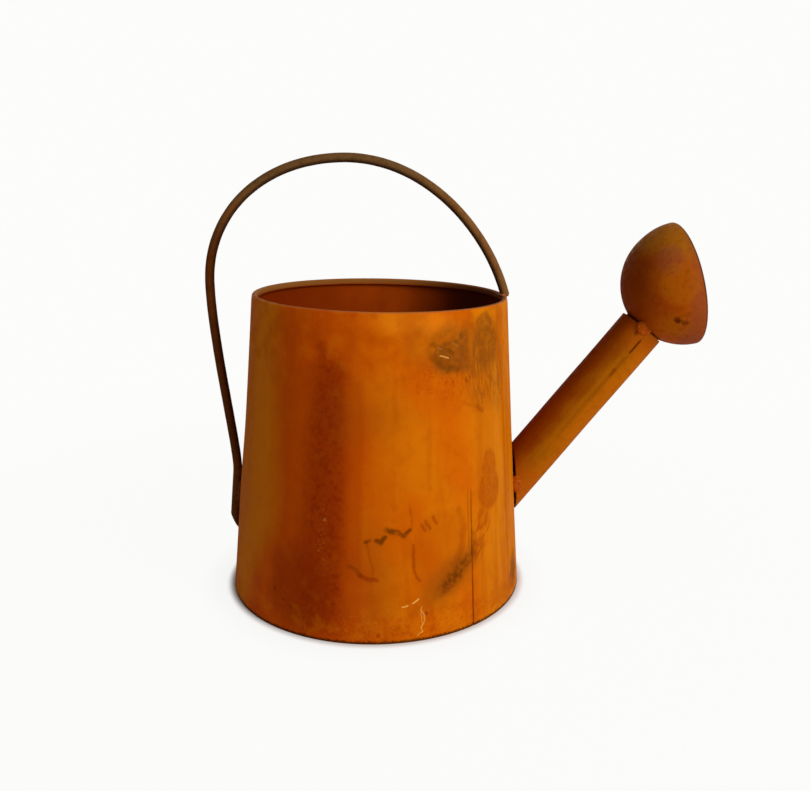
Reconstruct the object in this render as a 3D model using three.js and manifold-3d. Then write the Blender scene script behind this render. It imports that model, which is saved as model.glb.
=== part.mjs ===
import * as THREE from 'three';
import { mergeVertices } from 'three/addons/utils/BufferGeometryUtils.js';
import Module from 'manifold-3d';

// A small watering can of thin rusted steel, in millimetres. The origin is the middle of its foot,
// +Z is up and +X points to the spout. Handle, spout and rose lie in the plane Y = 0.

// Sheet, and the gap left between pieces that touch
const SHEET = 0.7;
const GAP = 0.3;

// Body: a cone that leans a little towards the spout, its mouth hemmed inwards
const BASE_RADIUS = 58.6;
const RIM_RADIUS = 49.1;
const WALL_HEIGHT = 117.5;
const WALL_LEAN = THREE.MathUtils.degToRad(1.1);
const HEM_RADIUS = 1;
const HEM_DROP = 1.4;
const WALL_SEAM_AZIMUTH = THREE.MathUtils.degToRad(-52.4);
const SEAM_WIDTH = 0.5;
const SEAM_DEPTH = 0.35;

// Handle: one round rod. The crown's and the bow's levels are above the rim, the bow is the place
// furthest left, measured from the rim, and a fullness of 0.55 makes a bend a quarter of an ellipse.
const ROD_RADIUS = 1.8;
const CROWN_LEVEL = 50.6;
const CROWN_OFFSET = -10.6;
const BOW_LEVEL = 3.6;
const BOW_REACH = 16.2;
const RIGHT_FULLNESS = 0.5;
const LEFT_FULLNESS = 0.58;
const END_INSET = 0.5;
const END_STRAIGHT = 1.4;
const END_LEAN = THREE.MathUtils.degToRad(17.2);
const LEG_EASE = 24.7;
const FOOT_EASE = 9;
const FOOT_TOP = 45;
const FOOT_HEEL = 27;
const FOOT_TIP = 20.5;
const FOOT_STANDOFF = 0.35;

// Spout: a straight rolled tube, a little narrower at its top
const SPOUT_ANGLE = THREE.MathUtils.degToRad(51.3);
const SPOUT_ROOT_HEIGHT = 41.93;
const SPOUT_ROOT_RADIUS = 9.27;
const SPOUT_TOP_RADIUS = 9.12;
const SPOUT_LENGTH = 79.15;
const WATER_HOLE_RADIUS = 7;

// Rose: a half ball with its lip turned inwards over a perforated plate
const ROSE_RADIUS = 24.1;
const ROSE_DEPTH = 24.35;
const ROSE_TILT = THREE.MathUtils.degToRad(12.75);
const ROSE_OFFSET = 1.2;
const LIP_RADIUS = 0.9;
const LIP_WIDTH = 3;
const FACE_HOLE_RADIUS = 1;
const FACE_RING_PITCH = 5.6;
const FACE_RINGS = 3;

// Welds
const SEAM_WELD_WIDTH = 2.6;
const SEAM_WELD_HEIGHT = 0.8;
const SEAM_WELD_SHOULDER = 0.65;
const BASE_WELD_LEG = 1.8;
const RIM_WELD_SIZE = [2.9, 2.9, 1.7];
const FOOT_WELD_SIZE = [1.5, 1.3, 7];
const ROOT_WELD_SIZE = [2.2, 2, 3.9];
const NECK_WELD_SIZE = [2.7, 1.6, 2.9];
const NECK_WELD_ANGLE = THREE.MathUtils.degToRad(13);

// Facets
const WALL_SEGMENTS = 72;
const TUBE_SEGMENTS = 32;
const ROSE_SEGMENTS = 48;
const ROD_SEGMENTS = 12;
const ROD_STEPS = 64;
const HOLE_SEGMENTS = 8;
const WELD_SEGMENTS = 14;
const HEM_STEPS = 6;
const BOWL_STEPS = 12;
const LIP_STEPS = 4;

const RUST = {
  wall: [0xb8620c, 0.55],
  base: [0x6b2f10, 0.75],
  rod: [0x5a3016, 0.5],
  spout: [0x9c4c0a, 0.55],
  rose: [0x83400f, 0.5],
  weld: [0xa8501a, 0.6],
};

const wasm = await Module();
wasm.setup();

const can = new THREE.Group();
const STRAIGHT_UP = new THREE.Vector3(0, 0, 1);
const RIM_Z = WALL_HEIGHT * Math.cos(WALL_LEAN);

function addPiece(name, solid, finish) {
  const [color, roughness] = finish;
  const material = new THREE.MeshStandardMaterial({ color, roughness, metalness: 0.6 });
  const { vertProperties, triVerts } = solid.getMesh();
  const geometry = new THREE.BufferGeometry();
  geometry.setAttribute('position', new THREE.BufferAttribute(vertProperties, 3));
  geometry.setIndex(new THREE.BufferAttribute(triVerts, 1));
  geometry.computeVertexNormals();
  const mesh = new THREE.Mesh(geometry, material);
  mesh.name = name;
  can.add(mesh);
}

// Merges a closed geometry's vertices and turns its faces outwards
function solidFrom(geometry) {
  const bare = new THREE.BufferGeometry();
  bare.setAttribute('position', geometry.attributes.position);
  bare.setIndex(geometry.index);
  const merged = mergeVertices(bare, 1e-4);
  const position = merged.attributes.position;
  const [a, b, c] = [new THREE.Vector3(), new THREE.Vector3(), new THREE.Vector3()];
  const triangles = [];
  let volume = 0;
  for (let i = 0; i < merged.index.count; i += 3) {
    const corners = [0, 1, 2].map((k) => merged.index.getX(i + k));
    if (new Set(corners).size < 3) continue;
    triangles.push(corners);
    a.fromBufferAttribute(position, corners[0]);
    b.fromBufferAttribute(position, corners[1]);
    c.fromBufferAttribute(position, corners[2]);
    volume += a.dot(b.cross(c));
  }
  const outward = volume > 0 ? triangles : triangles.map(([p, q, r]) => [p, r, q]);
  return new wasm.Manifold(new wasm.Mesh({
    numProp: 3,
    vertProperties: Float32Array.from(position.array),
    triVerts: Uint32Array.from(outward.flat()),
  }));
}

// Points on an arc of the lathe's half plane, angles counted from the radius towards the axis's top
function arc(radius, height, size, from, to, steps) {
  return Array.from({ length: steps + 1 }, (_, i) => {
    const angle = from + ((to - from) * i) / steps;
    return new THREE.Vector2(radius + size * Math.cos(angle), height + size * Math.sin(angle));
  });
}

// A closed profile turned about the Z axis
function turned(profile, segments) {
  return new THREE.LatheGeometry([...profile, profile[0]], segments).rotateX(Math.PI / 2);
}

// A bar between two heights on the Z axis, and a cone frustum where the radii differ
function bar(radiusLow, radiusHigh, low, high, segments) {
  return new THREE.CylinderGeometry(radiusHigh, radiusLow, high - low, segments)
    .rotateX(Math.PI / 2)
    .translate(0, 0, (high + low) / 2);
}

function wallRadius(height) {
  return THREE.MathUtils.lerp(BASE_RADIUS, RIM_RADIUS, height / WALL_HEIGHT);
}

// Moves a point of the upright cone to its place on the leaning one
function leanPoint(point) {
  const turn = WALL_LEAN * THREE.MathUtils.clamp(point.z / WALL_HEIGHT, 0, 1);
  return new THREE.Vector3(
    point.z * Math.sin(WALL_LEAN) + point.x * Math.cos(turn),
    point.y,
    point.z * Math.cos(WALL_LEAN) - point.x * Math.sin(turn),
  );
}

function leaned(geometry) {
  const position = geometry.attributes.position;
  const point = new THREE.Vector3();
  for (let i = 0; i < position.count; i += 1) {
    point.fromBufferAttribute(position, i);
    position.setXYZ(i, ...leanPoint(point).toArray());
  }
  return geometry;
}

// A point at an azimuth and a height, this far outside the wall's outer face
function wallPoint(azimuth, height, outside) {
  const radius = wallRadius(height) + outside;
  return leanPoint(new THREE.Vector3(radius * Math.cos(azimuth), radius * Math.sin(azimuth), height));
}

// Turns a shape made along +Z so that it points along a direction, then moves it to a place
function placed(geometry, direction, place) {
  const turn = new THREE.Quaternion().setFromUnitVectors(STRAIGHT_UP, direction);
  return geometry.applyQuaternion(turn).translate(place.x, place.y, place.z);
}

function alongPath(section, extrudePath, steps) {
  return new THREE.ExtrudeGeometry(section, { extrudePath, steps });
}

function disc(radius, segments) {
  return new THREE.Shape(
    Array.from({ length: segments }, (_, i) => {
      const angle = (2 * Math.PI * i) / segments;
      return new THREE.Vector2(radius * Math.cos(angle), radius * Math.sin(angle));
    }),
  );
}

// A drop of weld metal with three half sizes, the third along a direction and the second across Y
function drop(size, direction, place) {
  const ball = new THREE.SphereGeometry(1, WELD_SEGMENTS, WELD_SEGMENTS / 2).scale(...size);
  return solidFrom(placed(ball, direction, place));
}

// Body wall: outside, hem rolled over and turned down inside, inside
const hemRadius = RIM_RADIUS - HEM_RADIUS;
const hemHeight = WALL_HEIGHT - HEM_RADIUS;
const hemEnd = hemHeight - HEM_DROP;
const wallProfile = [
  new THREE.Vector2(BASE_RADIUS, 0),
  ...arc(hemRadius, hemHeight, HEM_RADIUS, 0, Math.PI, HEM_STEPS),
  new THREE.Vector2(hemRadius - HEM_RADIUS, hemEnd),
  new THREE.Vector2(hemRadius - HEM_RADIUS + SHEET, hemEnd),
  ...arc(hemRadius, hemHeight, HEM_RADIUS - SHEET, Math.PI, 0, HEM_STEPS),
  new THREE.Vector2(BASE_RADIUS - SHEET, 0),
];
const wallShell = solidFrom(leaned(turned(wallProfile, WALL_SEGMENTS)));

// The cone filled solid and grown by the gap, which trims what is set against the wall
const wallSlope = (BASE_RADIUS - RIM_RADIUS) / WALL_HEIGHT;
const wallFilled = solidFrom(leaned(bar(
  BASE_RADIUS + GAP + wallSlope * GAP,
  RIM_RADIUS + GAP - wallSlope * GAP,
  -GAP,
  WALL_HEIGHT + GAP,
  WALL_SEGMENTS,
)));

const seamLow = wallPoint(WALL_SEAM_AZIMUTH, 0, 0);
const seamHigh = wallPoint(WALL_SEAM_AZIMUTH, hemHeight, 0);
const seamUp = seamHigh.clone().sub(seamLow).normalize();
const seamLength = seamLow.distanceTo(seamHigh);
const seamOut = new THREE.Vector3(Math.cos(WALL_SEAM_AZIMUTH), Math.sin(WALL_SEAM_AZIMUTH), 0);

// The groove that a butt seam leaves on the outside of a rolled sheet
function seamGroove(low, up, out, length) {
  const depth = SEAM_DEPTH + GAP;
  const side = new THREE.Vector3().crossVectors(up, out).normalize();
  const square = new THREE.Vector3().crossVectors(side, up);
  const frame = new THREE.Matrix4().makeBasis(square, side, up);
  const groove = new THREE.BoxGeometry(2 * depth, SEAM_WIDTH, length)
    .translate(depth - SEAM_DEPTH, 0, length / 2)
    .applyMatrix4(frame);
  return solidFrom(groove.translate(low.x, low.y, low.z));
}

const wallGroove = seamGroove(seamLow.clone().addScaledVector(seamUp, -GAP), seamUp, seamOut, seamLength);

// Spout: its axis starts on the wall and rises at the spout's angle
const spoutRoot = wallPoint(0, SPOUT_ROOT_HEIGHT, 0);
const spoutUp = new THREE.Vector3(Math.cos(SPOUT_ANGLE), 0, Math.sin(SPOUT_ANGLE));
const spoutBelow = new THREE.Vector3(Math.sin(SPOUT_ANGLE), 0, -Math.cos(SPOUT_ANGLE));
const rootReach = 2 * SPOUT_ROOT_RADIUS;

function spoutRadius(distance) {
  return THREE.MathUtils.lerp(SPOUT_ROOT_RADIUS, SPOUT_TOP_RADIUS, distance / SPOUT_LENGTH);
}

// A round bar along the spout's axis, this much larger than the tube's outside
function spoutBar(grown, from, to) {
  const core = bar(spoutRadius(from) + grown, spoutRadius(to) + grown, from, to, TUBE_SEGMENTS);
  return solidFrom(placed(core, spoutUp, spoutRoot));
}

function waterHole(from, to) {
  const core = bar(WATER_HOLE_RADIUS, WATER_HOLE_RADIUS, from, to, TUBE_SEGMENTS);
  return solidFrom(placed(core, spoutUp, spoutRoot));
}

// The flat cut at the tube's foot runs along the wall, one gap outside it
const rootLow = wallPoint(0, 0, GAP);
const rootHigh = wallPoint(0, WALL_HEIGHT, GAP);
const rootCutUp = rootHigh.clone().sub(rootLow).normalize();
const cutSide = 4 * SPOUT_ROOT_RADIUS;
const rootCut = solidFrom(placed(
  new THREE.BoxGeometry(cutSide, cutSide, rootLow.distanceTo(rootHigh)).translate(-cutSide / 2, 0, 0),
  rootCutUp,
  rootLow.clone().add(rootHigh).multiplyScalar(0.5),
));

// The tube's seam runs along the side that faces -Y
const spoutSeamOut = new THREE.Vector3(0, -1, 0);
const spoutGroove = seamGroove(
  spoutRoot.clone().addScaledVector(spoutSeamOut, SPOUT_ROOT_RADIUS),
  spoutUp,
  spoutSeamOut,
  SPOUT_LENGTH + GAP,
);
const spoutTube = spoutBar(0, -rootReach, SPOUT_LENGTH)
  .subtract(spoutBar(-SHEET, -rootReach - GAP, SPOUT_LENGTH + GAP))
  .subtract(rootCut)
  .subtract(spoutGroove);

addPiece('body_wall', wallShell.subtract(wallGroove).subtract(waterHole(-rootReach, rootReach)), RUST.wall);
addPiece('spout', spoutTube, RUST.spout);

// Base: a disc inside the wall, level with its lower edge, and the bead that closes the corner above it
const insideFoot = wallRadius(SHEET) - SHEET - GAP;
addPiece('base_plate', solidFrom(bar(insideFoot, insideFoot, 0, SHEET, WALL_SEGMENTS)), RUST.base);

const beadFloor = SHEET + GAP;
const beadTop = beadFloor + BASE_WELD_LEG;
const beadOuter = wallRadius(beadTop) - SHEET - GAP;
addPiece('base_weld', solidFrom(leaned(turned([
  new THREE.Vector2(beadOuter - BASE_WELD_LEG, beadFloor),
  new THREE.Vector2(beadOuter, beadFloor),
  new THREE.Vector2(beadOuter, beadTop),
  new THREE.Vector2(beadOuter - BASE_WELD_LEG / 2, beadFloor + BASE_WELD_LEG / 3),
], WALL_SEGMENTS))), RUST.weld);

// The bead inside along the wall's seam, from above the base bead to below the hem
const seamWeldSection = new THREE.Shape([
  new THREE.Vector2(0, -SEAM_WELD_WIDTH / 2),
  new THREE.Vector2(0, SEAM_WELD_WIDTH / 2),
  new THREE.Vector2(-SEAM_WELD_SHOULDER, SEAM_WELD_WIDTH / 4),
  new THREE.Vector2(-SEAM_WELD_HEIGHT, 0),
  new THREE.Vector2(-SEAM_WELD_SHOULDER, -SEAM_WELD_WIDTH / 4),
]);
const weldFrom = beadTop + GAP;
const weldTo = hemEnd - GAP;
const weldInset = SHEET + 1.5 * GAP;
const seamWeldLow = wallPoint(WALL_SEAM_AZIMUTH, weldFrom, -weldInset);
const seamWeldHigh = wallPoint(WALL_SEAM_AZIMUTH, weldTo, -weldInset);
const seamWeldUp = seamWeldHigh.clone().sub(seamWeldLow).normalize();
const seamWeldSide = new THREE.Vector3().crossVectors(seamWeldUp, seamOut).normalize();
const seamWeldFrame = new THREE.Matrix4()
  .makeBasis(new THREE.Vector3().crossVectors(seamWeldSide, seamWeldUp), seamWeldSide, seamWeldUp)
  .setPosition(seamWeldLow);
addPiece('wall_seam_weld', solidFrom(new THREE.ExtrudeGeometry(seamWeldSection, {
  depth: seamWeldLow.distanceTo(seamWeldHigh),
  bevelEnabled: false,
}).applyMatrix4(seamWeldFrame)), RUST.weld);

// Handle: its end stands on the hem, a wide bend rises to the crown, a fuller one comes down to the
// bow on the left, the leg eases in to the wall and the foot lies along it
const rodOutside = ROD_RADIUS + FOOT_STANDOFF;
const handleEnd = wallPoint(0, WALL_HEIGHT, -END_INSET);
const crown = new THREE.Vector3(CROWN_OFFSET, 0, RIM_Z + CROWN_LEVEL);
const bow = wallPoint(Math.PI, WALL_HEIGHT, BOW_REACH);
bow.z = RIM_Z + BOW_LEVEL;
const footTop = wallPoint(Math.PI, FOOT_TOP, rodOutside);
const footTip = wallPoint(Math.PI, FOOT_TIP - ROD_RADIUS, rodOutside);
const footUp = footTop.clone().sub(footTip).normalize();
const endUp = new THREE.Vector3(-Math.sin(END_LEAN), 0, Math.cos(END_LEAN));
const rodStart = handleEnd.clone().addScaledVector(endUp, -ROD_RADIUS);
const firstBend = handleEnd.clone().addScaledVector(endUp, END_STRAIGHT);

function moved(point, x, z) {
  return new THREE.Vector3(point.x + x, 0, point.z + z);
}

const handlePath = new THREE.CurvePath();
handlePath.add(new THREE.LineCurve3(rodStart, firstBend));
handlePath.add(new THREE.CubicBezierCurve3(
  firstBend,
  firstBend.clone().addScaledVector(endUp, RIGHT_FULLNESS * (crown.z - firstBend.z)),
  moved(crown, RIGHT_FULLNESS * (firstBend.x - crown.x), 0),
  crown,
));
handlePath.add(new THREE.CubicBezierCurve3(
  crown,
  moved(crown, LEFT_FULLNESS * (bow.x - crown.x), 0),
  moved(bow, 0, LEFT_FULLNESS * (crown.z - bow.z)),
  bow,
));
handlePath.add(new THREE.CubicBezierCurve3(
  bow,
  moved(bow, 0, -LEG_EASE),
  footTop.clone().addScaledVector(footUp, FOOT_EASE),
  footTop,
));
handlePath.add(new THREE.LineCurve3(footTop, footTip));

function rod(radius) {
  return solidFrom(alongPath(disc(radius, ROD_SEGMENTS), handlePath, ROD_STEPS));
}

// The end is cut level above the hem, the foot on a slant from its heel to its tip
const endCut = solidFrom(new THREE.BoxGeometry(6 * ROD_RADIUS, 6 * ROD_RADIUS, 6 * ROD_RADIUS)
  .translate(handleEnd.x, 0, handleEnd.z + GAP - 3 * ROD_RADIUS));
const heel = wallPoint(Math.PI, FOOT_HEEL, rodOutside + ROD_RADIUS);
const tip = wallPoint(Math.PI, FOOT_TIP, FOOT_STANDOFF);
const slantUp = heel.clone().sub(tip).normalize();
const slantSide = 8 * ROD_RADIUS;
const slantCut = solidFrom(placed(
  new THREE.BoxGeometry(slantSide, slantSide, 2 * slantSide).translate(-slantSide / 2, 0, 0),
  slantUp,
  tip,
));
addPiece('handle', rod(ROD_RADIUS).subtract(endCut).subtract(slantCut), RUST.rod);

// Rose: measured along the mouth's normal from the ball's centre
const boreRadius = SPOUT_TOP_RADIUS - SHEET;
const roseStandoff = Math.sqrt((ROSE_RADIUS + GAP) ** 2 - (boreRadius - ROSE_OFFSET) ** 2);
const roseCentre = spoutRoot.clone()
  .addScaledVector(spoutUp, SPOUT_LENGTH + roseStandoff)
  .addScaledVector(spoutBelow, ROSE_OFFSET);
const roseNormal = new THREE.Vector3(Math.cos(ROSE_TILT), 0, Math.sin(ROSE_TILT));
const mouth = ROSE_DEPTH - ROSE_RADIUS;
const lipHeight = mouth - LIP_RADIUS;
const lipCentre = Math.sqrt((ROSE_RADIUS - LIP_RADIUS) ** 2 - lipHeight ** 2);
const lipAngle = Math.atan2(lipHeight, lipCentre);
const bowlProfile = [
  ...arc(0, 0, ROSE_RADIUS, -Math.PI / 2, lipAngle, BOWL_STEPS),
  ...arc(lipCentre, lipHeight, LIP_RADIUS, lipAngle, Math.PI / 2, LIP_STEPS).slice(1),
  new THREE.Vector2(ROSE_RADIUS - LIP_WIDTH, mouth),
  new THREE.Vector2(ROSE_RADIUS - LIP_WIDTH, mouth - SHEET),
  ...arc(lipCentre, lipHeight, LIP_RADIUS - SHEET, Math.PI / 2, lipAngle, LIP_STEPS / 2),
  ...arc(0, 0, ROSE_RADIUS - SHEET, lipAngle, -Math.PI / 2, BOWL_STEPS).slice(1),
];
const bowlShell = solidFrom(placed(turned(bowlProfile, ROSE_SEGMENTS), roseNormal, roseCentre));
addPiece('rose_bowl', bowlShell.subtract(waterHole(SPOUT_LENGTH - rootReach, SPOUT_LENGTH + roseStandoff)),
  RUST.rose);

const faceShape = disc(lipCentre, ROSE_SEGMENTS);
function addFaceHole(x, y) {
  const outline = disc(FACE_HOLE_RADIUS, HOLE_SEGMENTS).getPoints();
  faceShape.holes.push(new THREE.Path(outline.map((point) => new THREE.Vector2(point.x + x, point.y + y))));
}
addFaceHole(0, 0);
for (let ring = 1; ring <= FACE_RINGS; ring += 1) {
  const count = 6 * ring;
  for (let i = 0; i < count; i += 1) {
    const angle = (2 * Math.PI * i) / count;
    addFaceHole(FACE_RING_PITCH * ring * Math.cos(angle), FACE_RING_PITCH * ring * Math.sin(angle));
  }
}
const facePlate = new THREE.ExtrudeGeometry(faceShape, { depth: SHEET, bevelEnabled: false })
  .translate(0, 0, mouth - 2 * SHEET - GAP);
addPiece('rose_face', solidFrom(placed(facePlate, roseNormal, roseCentre)), RUST.rose);

// Welds: drops of metal, trimmed by the pieces that they join
const roseFilled = solidFrom(new THREE.SphereGeometry(ROSE_RADIUS + GAP, ROSE_SEGMENTS, ROSE_SEGMENTS / 2)
  .rotateX(Math.PI / 2)
  .translate(roseCentre.x, roseCentre.y, roseCentre.z));
const spoutFilled = spoutBar(GAP, -rootReach, SPOUT_LENGTH + roseStandoff);
const rodGrown = rod(ROD_RADIUS + GAP);

const rimWeldPlace = new THREE.Vector3(handleEnd.x, 0, handleEnd.z + GAP);
addPiece('handle_rim_weld', drop(RIM_WELD_SIZE, STRAIGHT_UP, rimWeldPlace)
  .subtract(rodGrown)
  .subtract(wallFilled), RUST.weld);

for (const [side, sign] of [['front', -1], ['back', 1]]) {
  const footMiddle = wallPoint(Math.PI, (FOOT_TOP + FOOT_HEEL) / 2, GAP);
  footMiddle.y = sign * ROD_RADIUS;
  addPiece(`handle_foot_weld_${side}`, drop(FOOT_WELD_SIZE, footUp, footMiddle)
    .subtract(rodGrown)
    .subtract(wallFilled), RUST.weld);

  const rootMiddle = wallPoint(0, SPOUT_ROOT_HEIGHT, GAP);
  rootMiddle.y = sign * SPOUT_ROOT_RADIUS;
  addPiece(`spout_root_weld_${side}`, drop(ROOT_WELD_SIZE, rootCutUp, rootMiddle)
    .subtract(spoutFilled)
    .subtract(wallFilled), RUST.weld);

  const neckMiddle = spoutRoot.clone()
    .addScaledVector(spoutUp, SPOUT_LENGTH)
    .addScaledVector(spoutBelow, -SPOUT_TOP_RADIUS * Math.sin(NECK_WELD_ANGLE));
  neckMiddle.y = sign * SPOUT_TOP_RADIUS * Math.cos(NECK_WELD_ANGLE);
  addPiece(`rose_neck_weld_${side}`, drop(NECK_WELD_SIZE, spoutBelow, neckMiddle)
    .subtract(spoutFilled)
    .subtract(roseFilled), RUST.weld);
}

export default can;
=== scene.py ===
import math

import bpy
import numpy as np
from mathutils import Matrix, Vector


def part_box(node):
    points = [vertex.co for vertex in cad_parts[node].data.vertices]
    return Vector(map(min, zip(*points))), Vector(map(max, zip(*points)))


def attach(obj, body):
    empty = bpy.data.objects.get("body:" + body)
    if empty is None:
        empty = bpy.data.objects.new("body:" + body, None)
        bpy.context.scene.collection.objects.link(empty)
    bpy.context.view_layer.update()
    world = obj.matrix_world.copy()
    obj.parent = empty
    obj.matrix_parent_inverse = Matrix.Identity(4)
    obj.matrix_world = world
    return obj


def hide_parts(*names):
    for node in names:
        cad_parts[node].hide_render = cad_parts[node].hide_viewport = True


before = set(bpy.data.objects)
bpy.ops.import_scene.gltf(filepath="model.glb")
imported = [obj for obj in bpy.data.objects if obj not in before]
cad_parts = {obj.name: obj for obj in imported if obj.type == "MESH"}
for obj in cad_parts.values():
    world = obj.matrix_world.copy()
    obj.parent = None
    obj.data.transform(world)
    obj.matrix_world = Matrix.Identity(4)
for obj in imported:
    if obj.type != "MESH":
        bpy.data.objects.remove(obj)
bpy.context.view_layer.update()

# Body wall. One sheet of thin steel rolled into a leaning cone and butt welded on the near side, its
# mouth hemmed inwards over a turned-down lip and a round water hole cut behind the spout. It was left
# to rust, rubbed, stained and then sealed with a thin clear coat.
MM = 0.001
SHEET = 0.7 * MM
SHARP_ANGLE = math.radians(38)
NOISE_ROUGHNESS = 0.55
GAP = 0.3 * MM
BASE_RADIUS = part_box("body_wall")[1].y
RIM_RADIUS = 49.1 * MM
WALL_HEIGHT = 117.5 * MM
WALL_LEAN = math.radians(1.1)
HEM_RADIUS = 1 * MM
HEM_DROP = 1.4 * MM
FOOT_ROUNDING = 0.15 * MM
WALL_HOLLOW = 0.35 * MM
WALL_WAVE = 0.09 * MM
WALL_COLUMNS = 240
WALL_ROWS = 100
SEAM_AZIMUTH = math.radians(-52.4)
SEAM_WIDTH = 0.22 * MM
SEAM_DEPTH = 0.35 * MM
SEAM_CLEARANCE = 0.016
SEAM_OPEN_HEIGHT = 50 * MM
SPOUT_ANGLE = math.radians(51.3)
SPOUT_ROOT_HEIGHT = 41.93 * MM
WATER_HOLE_RADIUS = 7 * MM


class Amount:
    """A number or a vector that varies over a surface. Arithmetic on it adds Math nodes."""

    def __init__(self, recipe, socket):
        self.recipe = recipe
        self.socket = socket

    def __add__(self, other):
        return self.recipe.maths("ADD", self, other)

    def __sub__(self, other):
        return self.recipe.maths("SUBTRACT", self, other)

    def __rsub__(self, other):
        return self.recipe.maths("SUBTRACT", other, self)

    def __mul__(self, other):
        return self.recipe.maths("MULTIPLY", self, other)

    def __or__(self, other):
        return self.recipe.maths("MAXIMUM", self, other)

    __radd__, __rmul__, __ror__ = __add__, __mul__, __or__

    def __abs__(self):
        return self.recipe.maths("ABSOLUTE", self)

    def fade(self, start, end):
        """A smooth step, 0 at the start and 1 at the end."""
        values = {0: self, 1: start, 2: end, 3: 0, 4: 1}
        return self.recipe.node("ShaderNodeMapRange", values, {"interpolation_type": "SMOOTHSTEP"})

    def axis(self, name):
        return self.recipe.node("ShaderNodeSeparateXYZ", {0: self}, output=name)

    def measure(self, operation, *others):
        """The number that a vector operation gives."""
        return self.recipe.vector(operation, self, *others, output="Value")

    def noise(self, size, detail=3, stretch=(1, 1, 1), shift=0, warp=0):
        """Cloudy noise of about 0.3 to 0.7, with spots of this size in millimetres."""
        spread = self.recipe.vector("MULTIPLY_ADD", self, stretch, (shift, -shift, shift))
        values = {"Vector": spread, "Scale": 1 / size, "Detail": detail, "Distortion": warp}
        return self.recipe.node("ShaderNodeTexNoise", {**values, "Roughness": NOISE_ROUGHNESS})

    def covered(self, mask, over):
        """This colour with another laid over it where the mask is 1."""
        return self.recipe.laid(mask, self, over)


class Recipe:
    """The nodes of one finish, from its surface position to its shader, or of one grown piece."""

    def __init__(self, tree):
        self.tree = tree

    def node(self, kind, values=None, settings=None, output=0):
        """Adds one node: its settings first, then the values or links of its sockets."""
        made = self.tree.nodes.new(kind)
        for setting, value in (settings or {}).items():
            setattr(made, setting, value)
        for socket, value in (values or {}).items():
            if isinstance(value, Amount):
                self.tree.links.new(value.socket, made.inputs[socket])
            else:
                made.inputs[socket].default_value = value
        return Amount(self, made.outputs[output])

    def maths(self, operation, *values):
        return self.node("ShaderNodeMath", dict(enumerate(values)), {"operation": operation})

    def vector(self, operation, *values, output=0):
        return self.node("ShaderNodeVectorMath", dict(enumerate(values)), {"operation": operation}, output)

    def laid(self, mask, under, over):
        """One colour laid over another where the mask is 1."""
        return self.node("ShaderNodeMix", {0: mask, 6: under, 7: over}, {"data_type": "RGBA"}, 2)


def tone(code):
    """A colour as it is seen, as the linear colour that a shader takes."""
    seen = [int(code[i:i + 2], 16) / 255 for i in (1, 3, 5)]
    return (*(c / 12.92 if c < 0.04 else ((c + 0.055) / 1.055) ** 2.4 for c in seen), 1)


def finish(name):
    """A new material: the material, its recipe, its shader and the surface position in millimetres."""
    material = bpy.data.materials.new(name)
    material.use_nodes = True
    recipe = Recipe(material.node_tree)
    shader = material.node_tree.nodes["Principled BSDF"]
    place = recipe.vector("SCALE", recipe.node("ShaderNodeTexCoord", output="Object"))
    place.socket.node.inputs["Scale"].default_value = 1 / MM
    return material, recipe, shader, place


def coat(recipe, shader, colour, roughness, height, depth, sheen=0.015):
    """Joins the colour, roughness and surface height to the shader, with an amber sheen."""
    bump = recipe.node("ShaderNodeBump", {"Strength": 1, "Distance": depth, "Height": height})
    for socket, value in (("Base Color", colour), ("Roughness", roughness), ("Normal", bump)):
        recipe.tree.links.new(value.socket, shader.inputs[socket])
    shader.inputs["Specular IOR Level"].default_value = sheen
    shader.inputs["Specular Tint"].default_value = (1, 0.45, 0.12, 1)


def full_turn(count):
    return np.linspace(0, 2 * math.pi, count, endpoint=False)


def arc(radius, height, size, start, end, steps):
    """Points on an arc of a turned profile, as radius and height."""
    turns = np.radians(np.linspace(start, end, steps + 1))
    return np.stack([radius + size * np.cos(turns), height + size * np.sin(turns)], axis=-1)


def spun(radius, turns, height):
    """Points at a radius, a turn about the Z axis and a height."""
    return np.stack(np.broadcast_arrays(radius * np.cos(turns), radius * np.sin(turns), height), axis=-1)


def lean(points):
    """Moves points of the upright cone to their places on the leaning one."""
    x, y, z = points[..., 0], points[..., 1], points[..., 2]
    turn = WALL_LEAN * np.clip(z / WALL_HEIGHT, 0, 1)
    return np.stack([
        z * math.sin(WALL_LEAN) + x * np.cos(turn),
        y,
        z * math.cos(WALL_LEAN) - x * np.sin(turn),
    ], axis=-1)


def wall_radius(height):
    return BASE_RADIUS + (RIM_RADIUS - BASE_RADIUS) * height / WALL_HEIGHT


def wall_point(azimuth, height, outside):
    """A point at an azimuth and a height, this far outside the wall's outer face."""
    radius = wall_radius(height) + outside
    return lean(np.array([radius * math.cos(azimuth), radius * math.sin(azimuth), height]))


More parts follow.
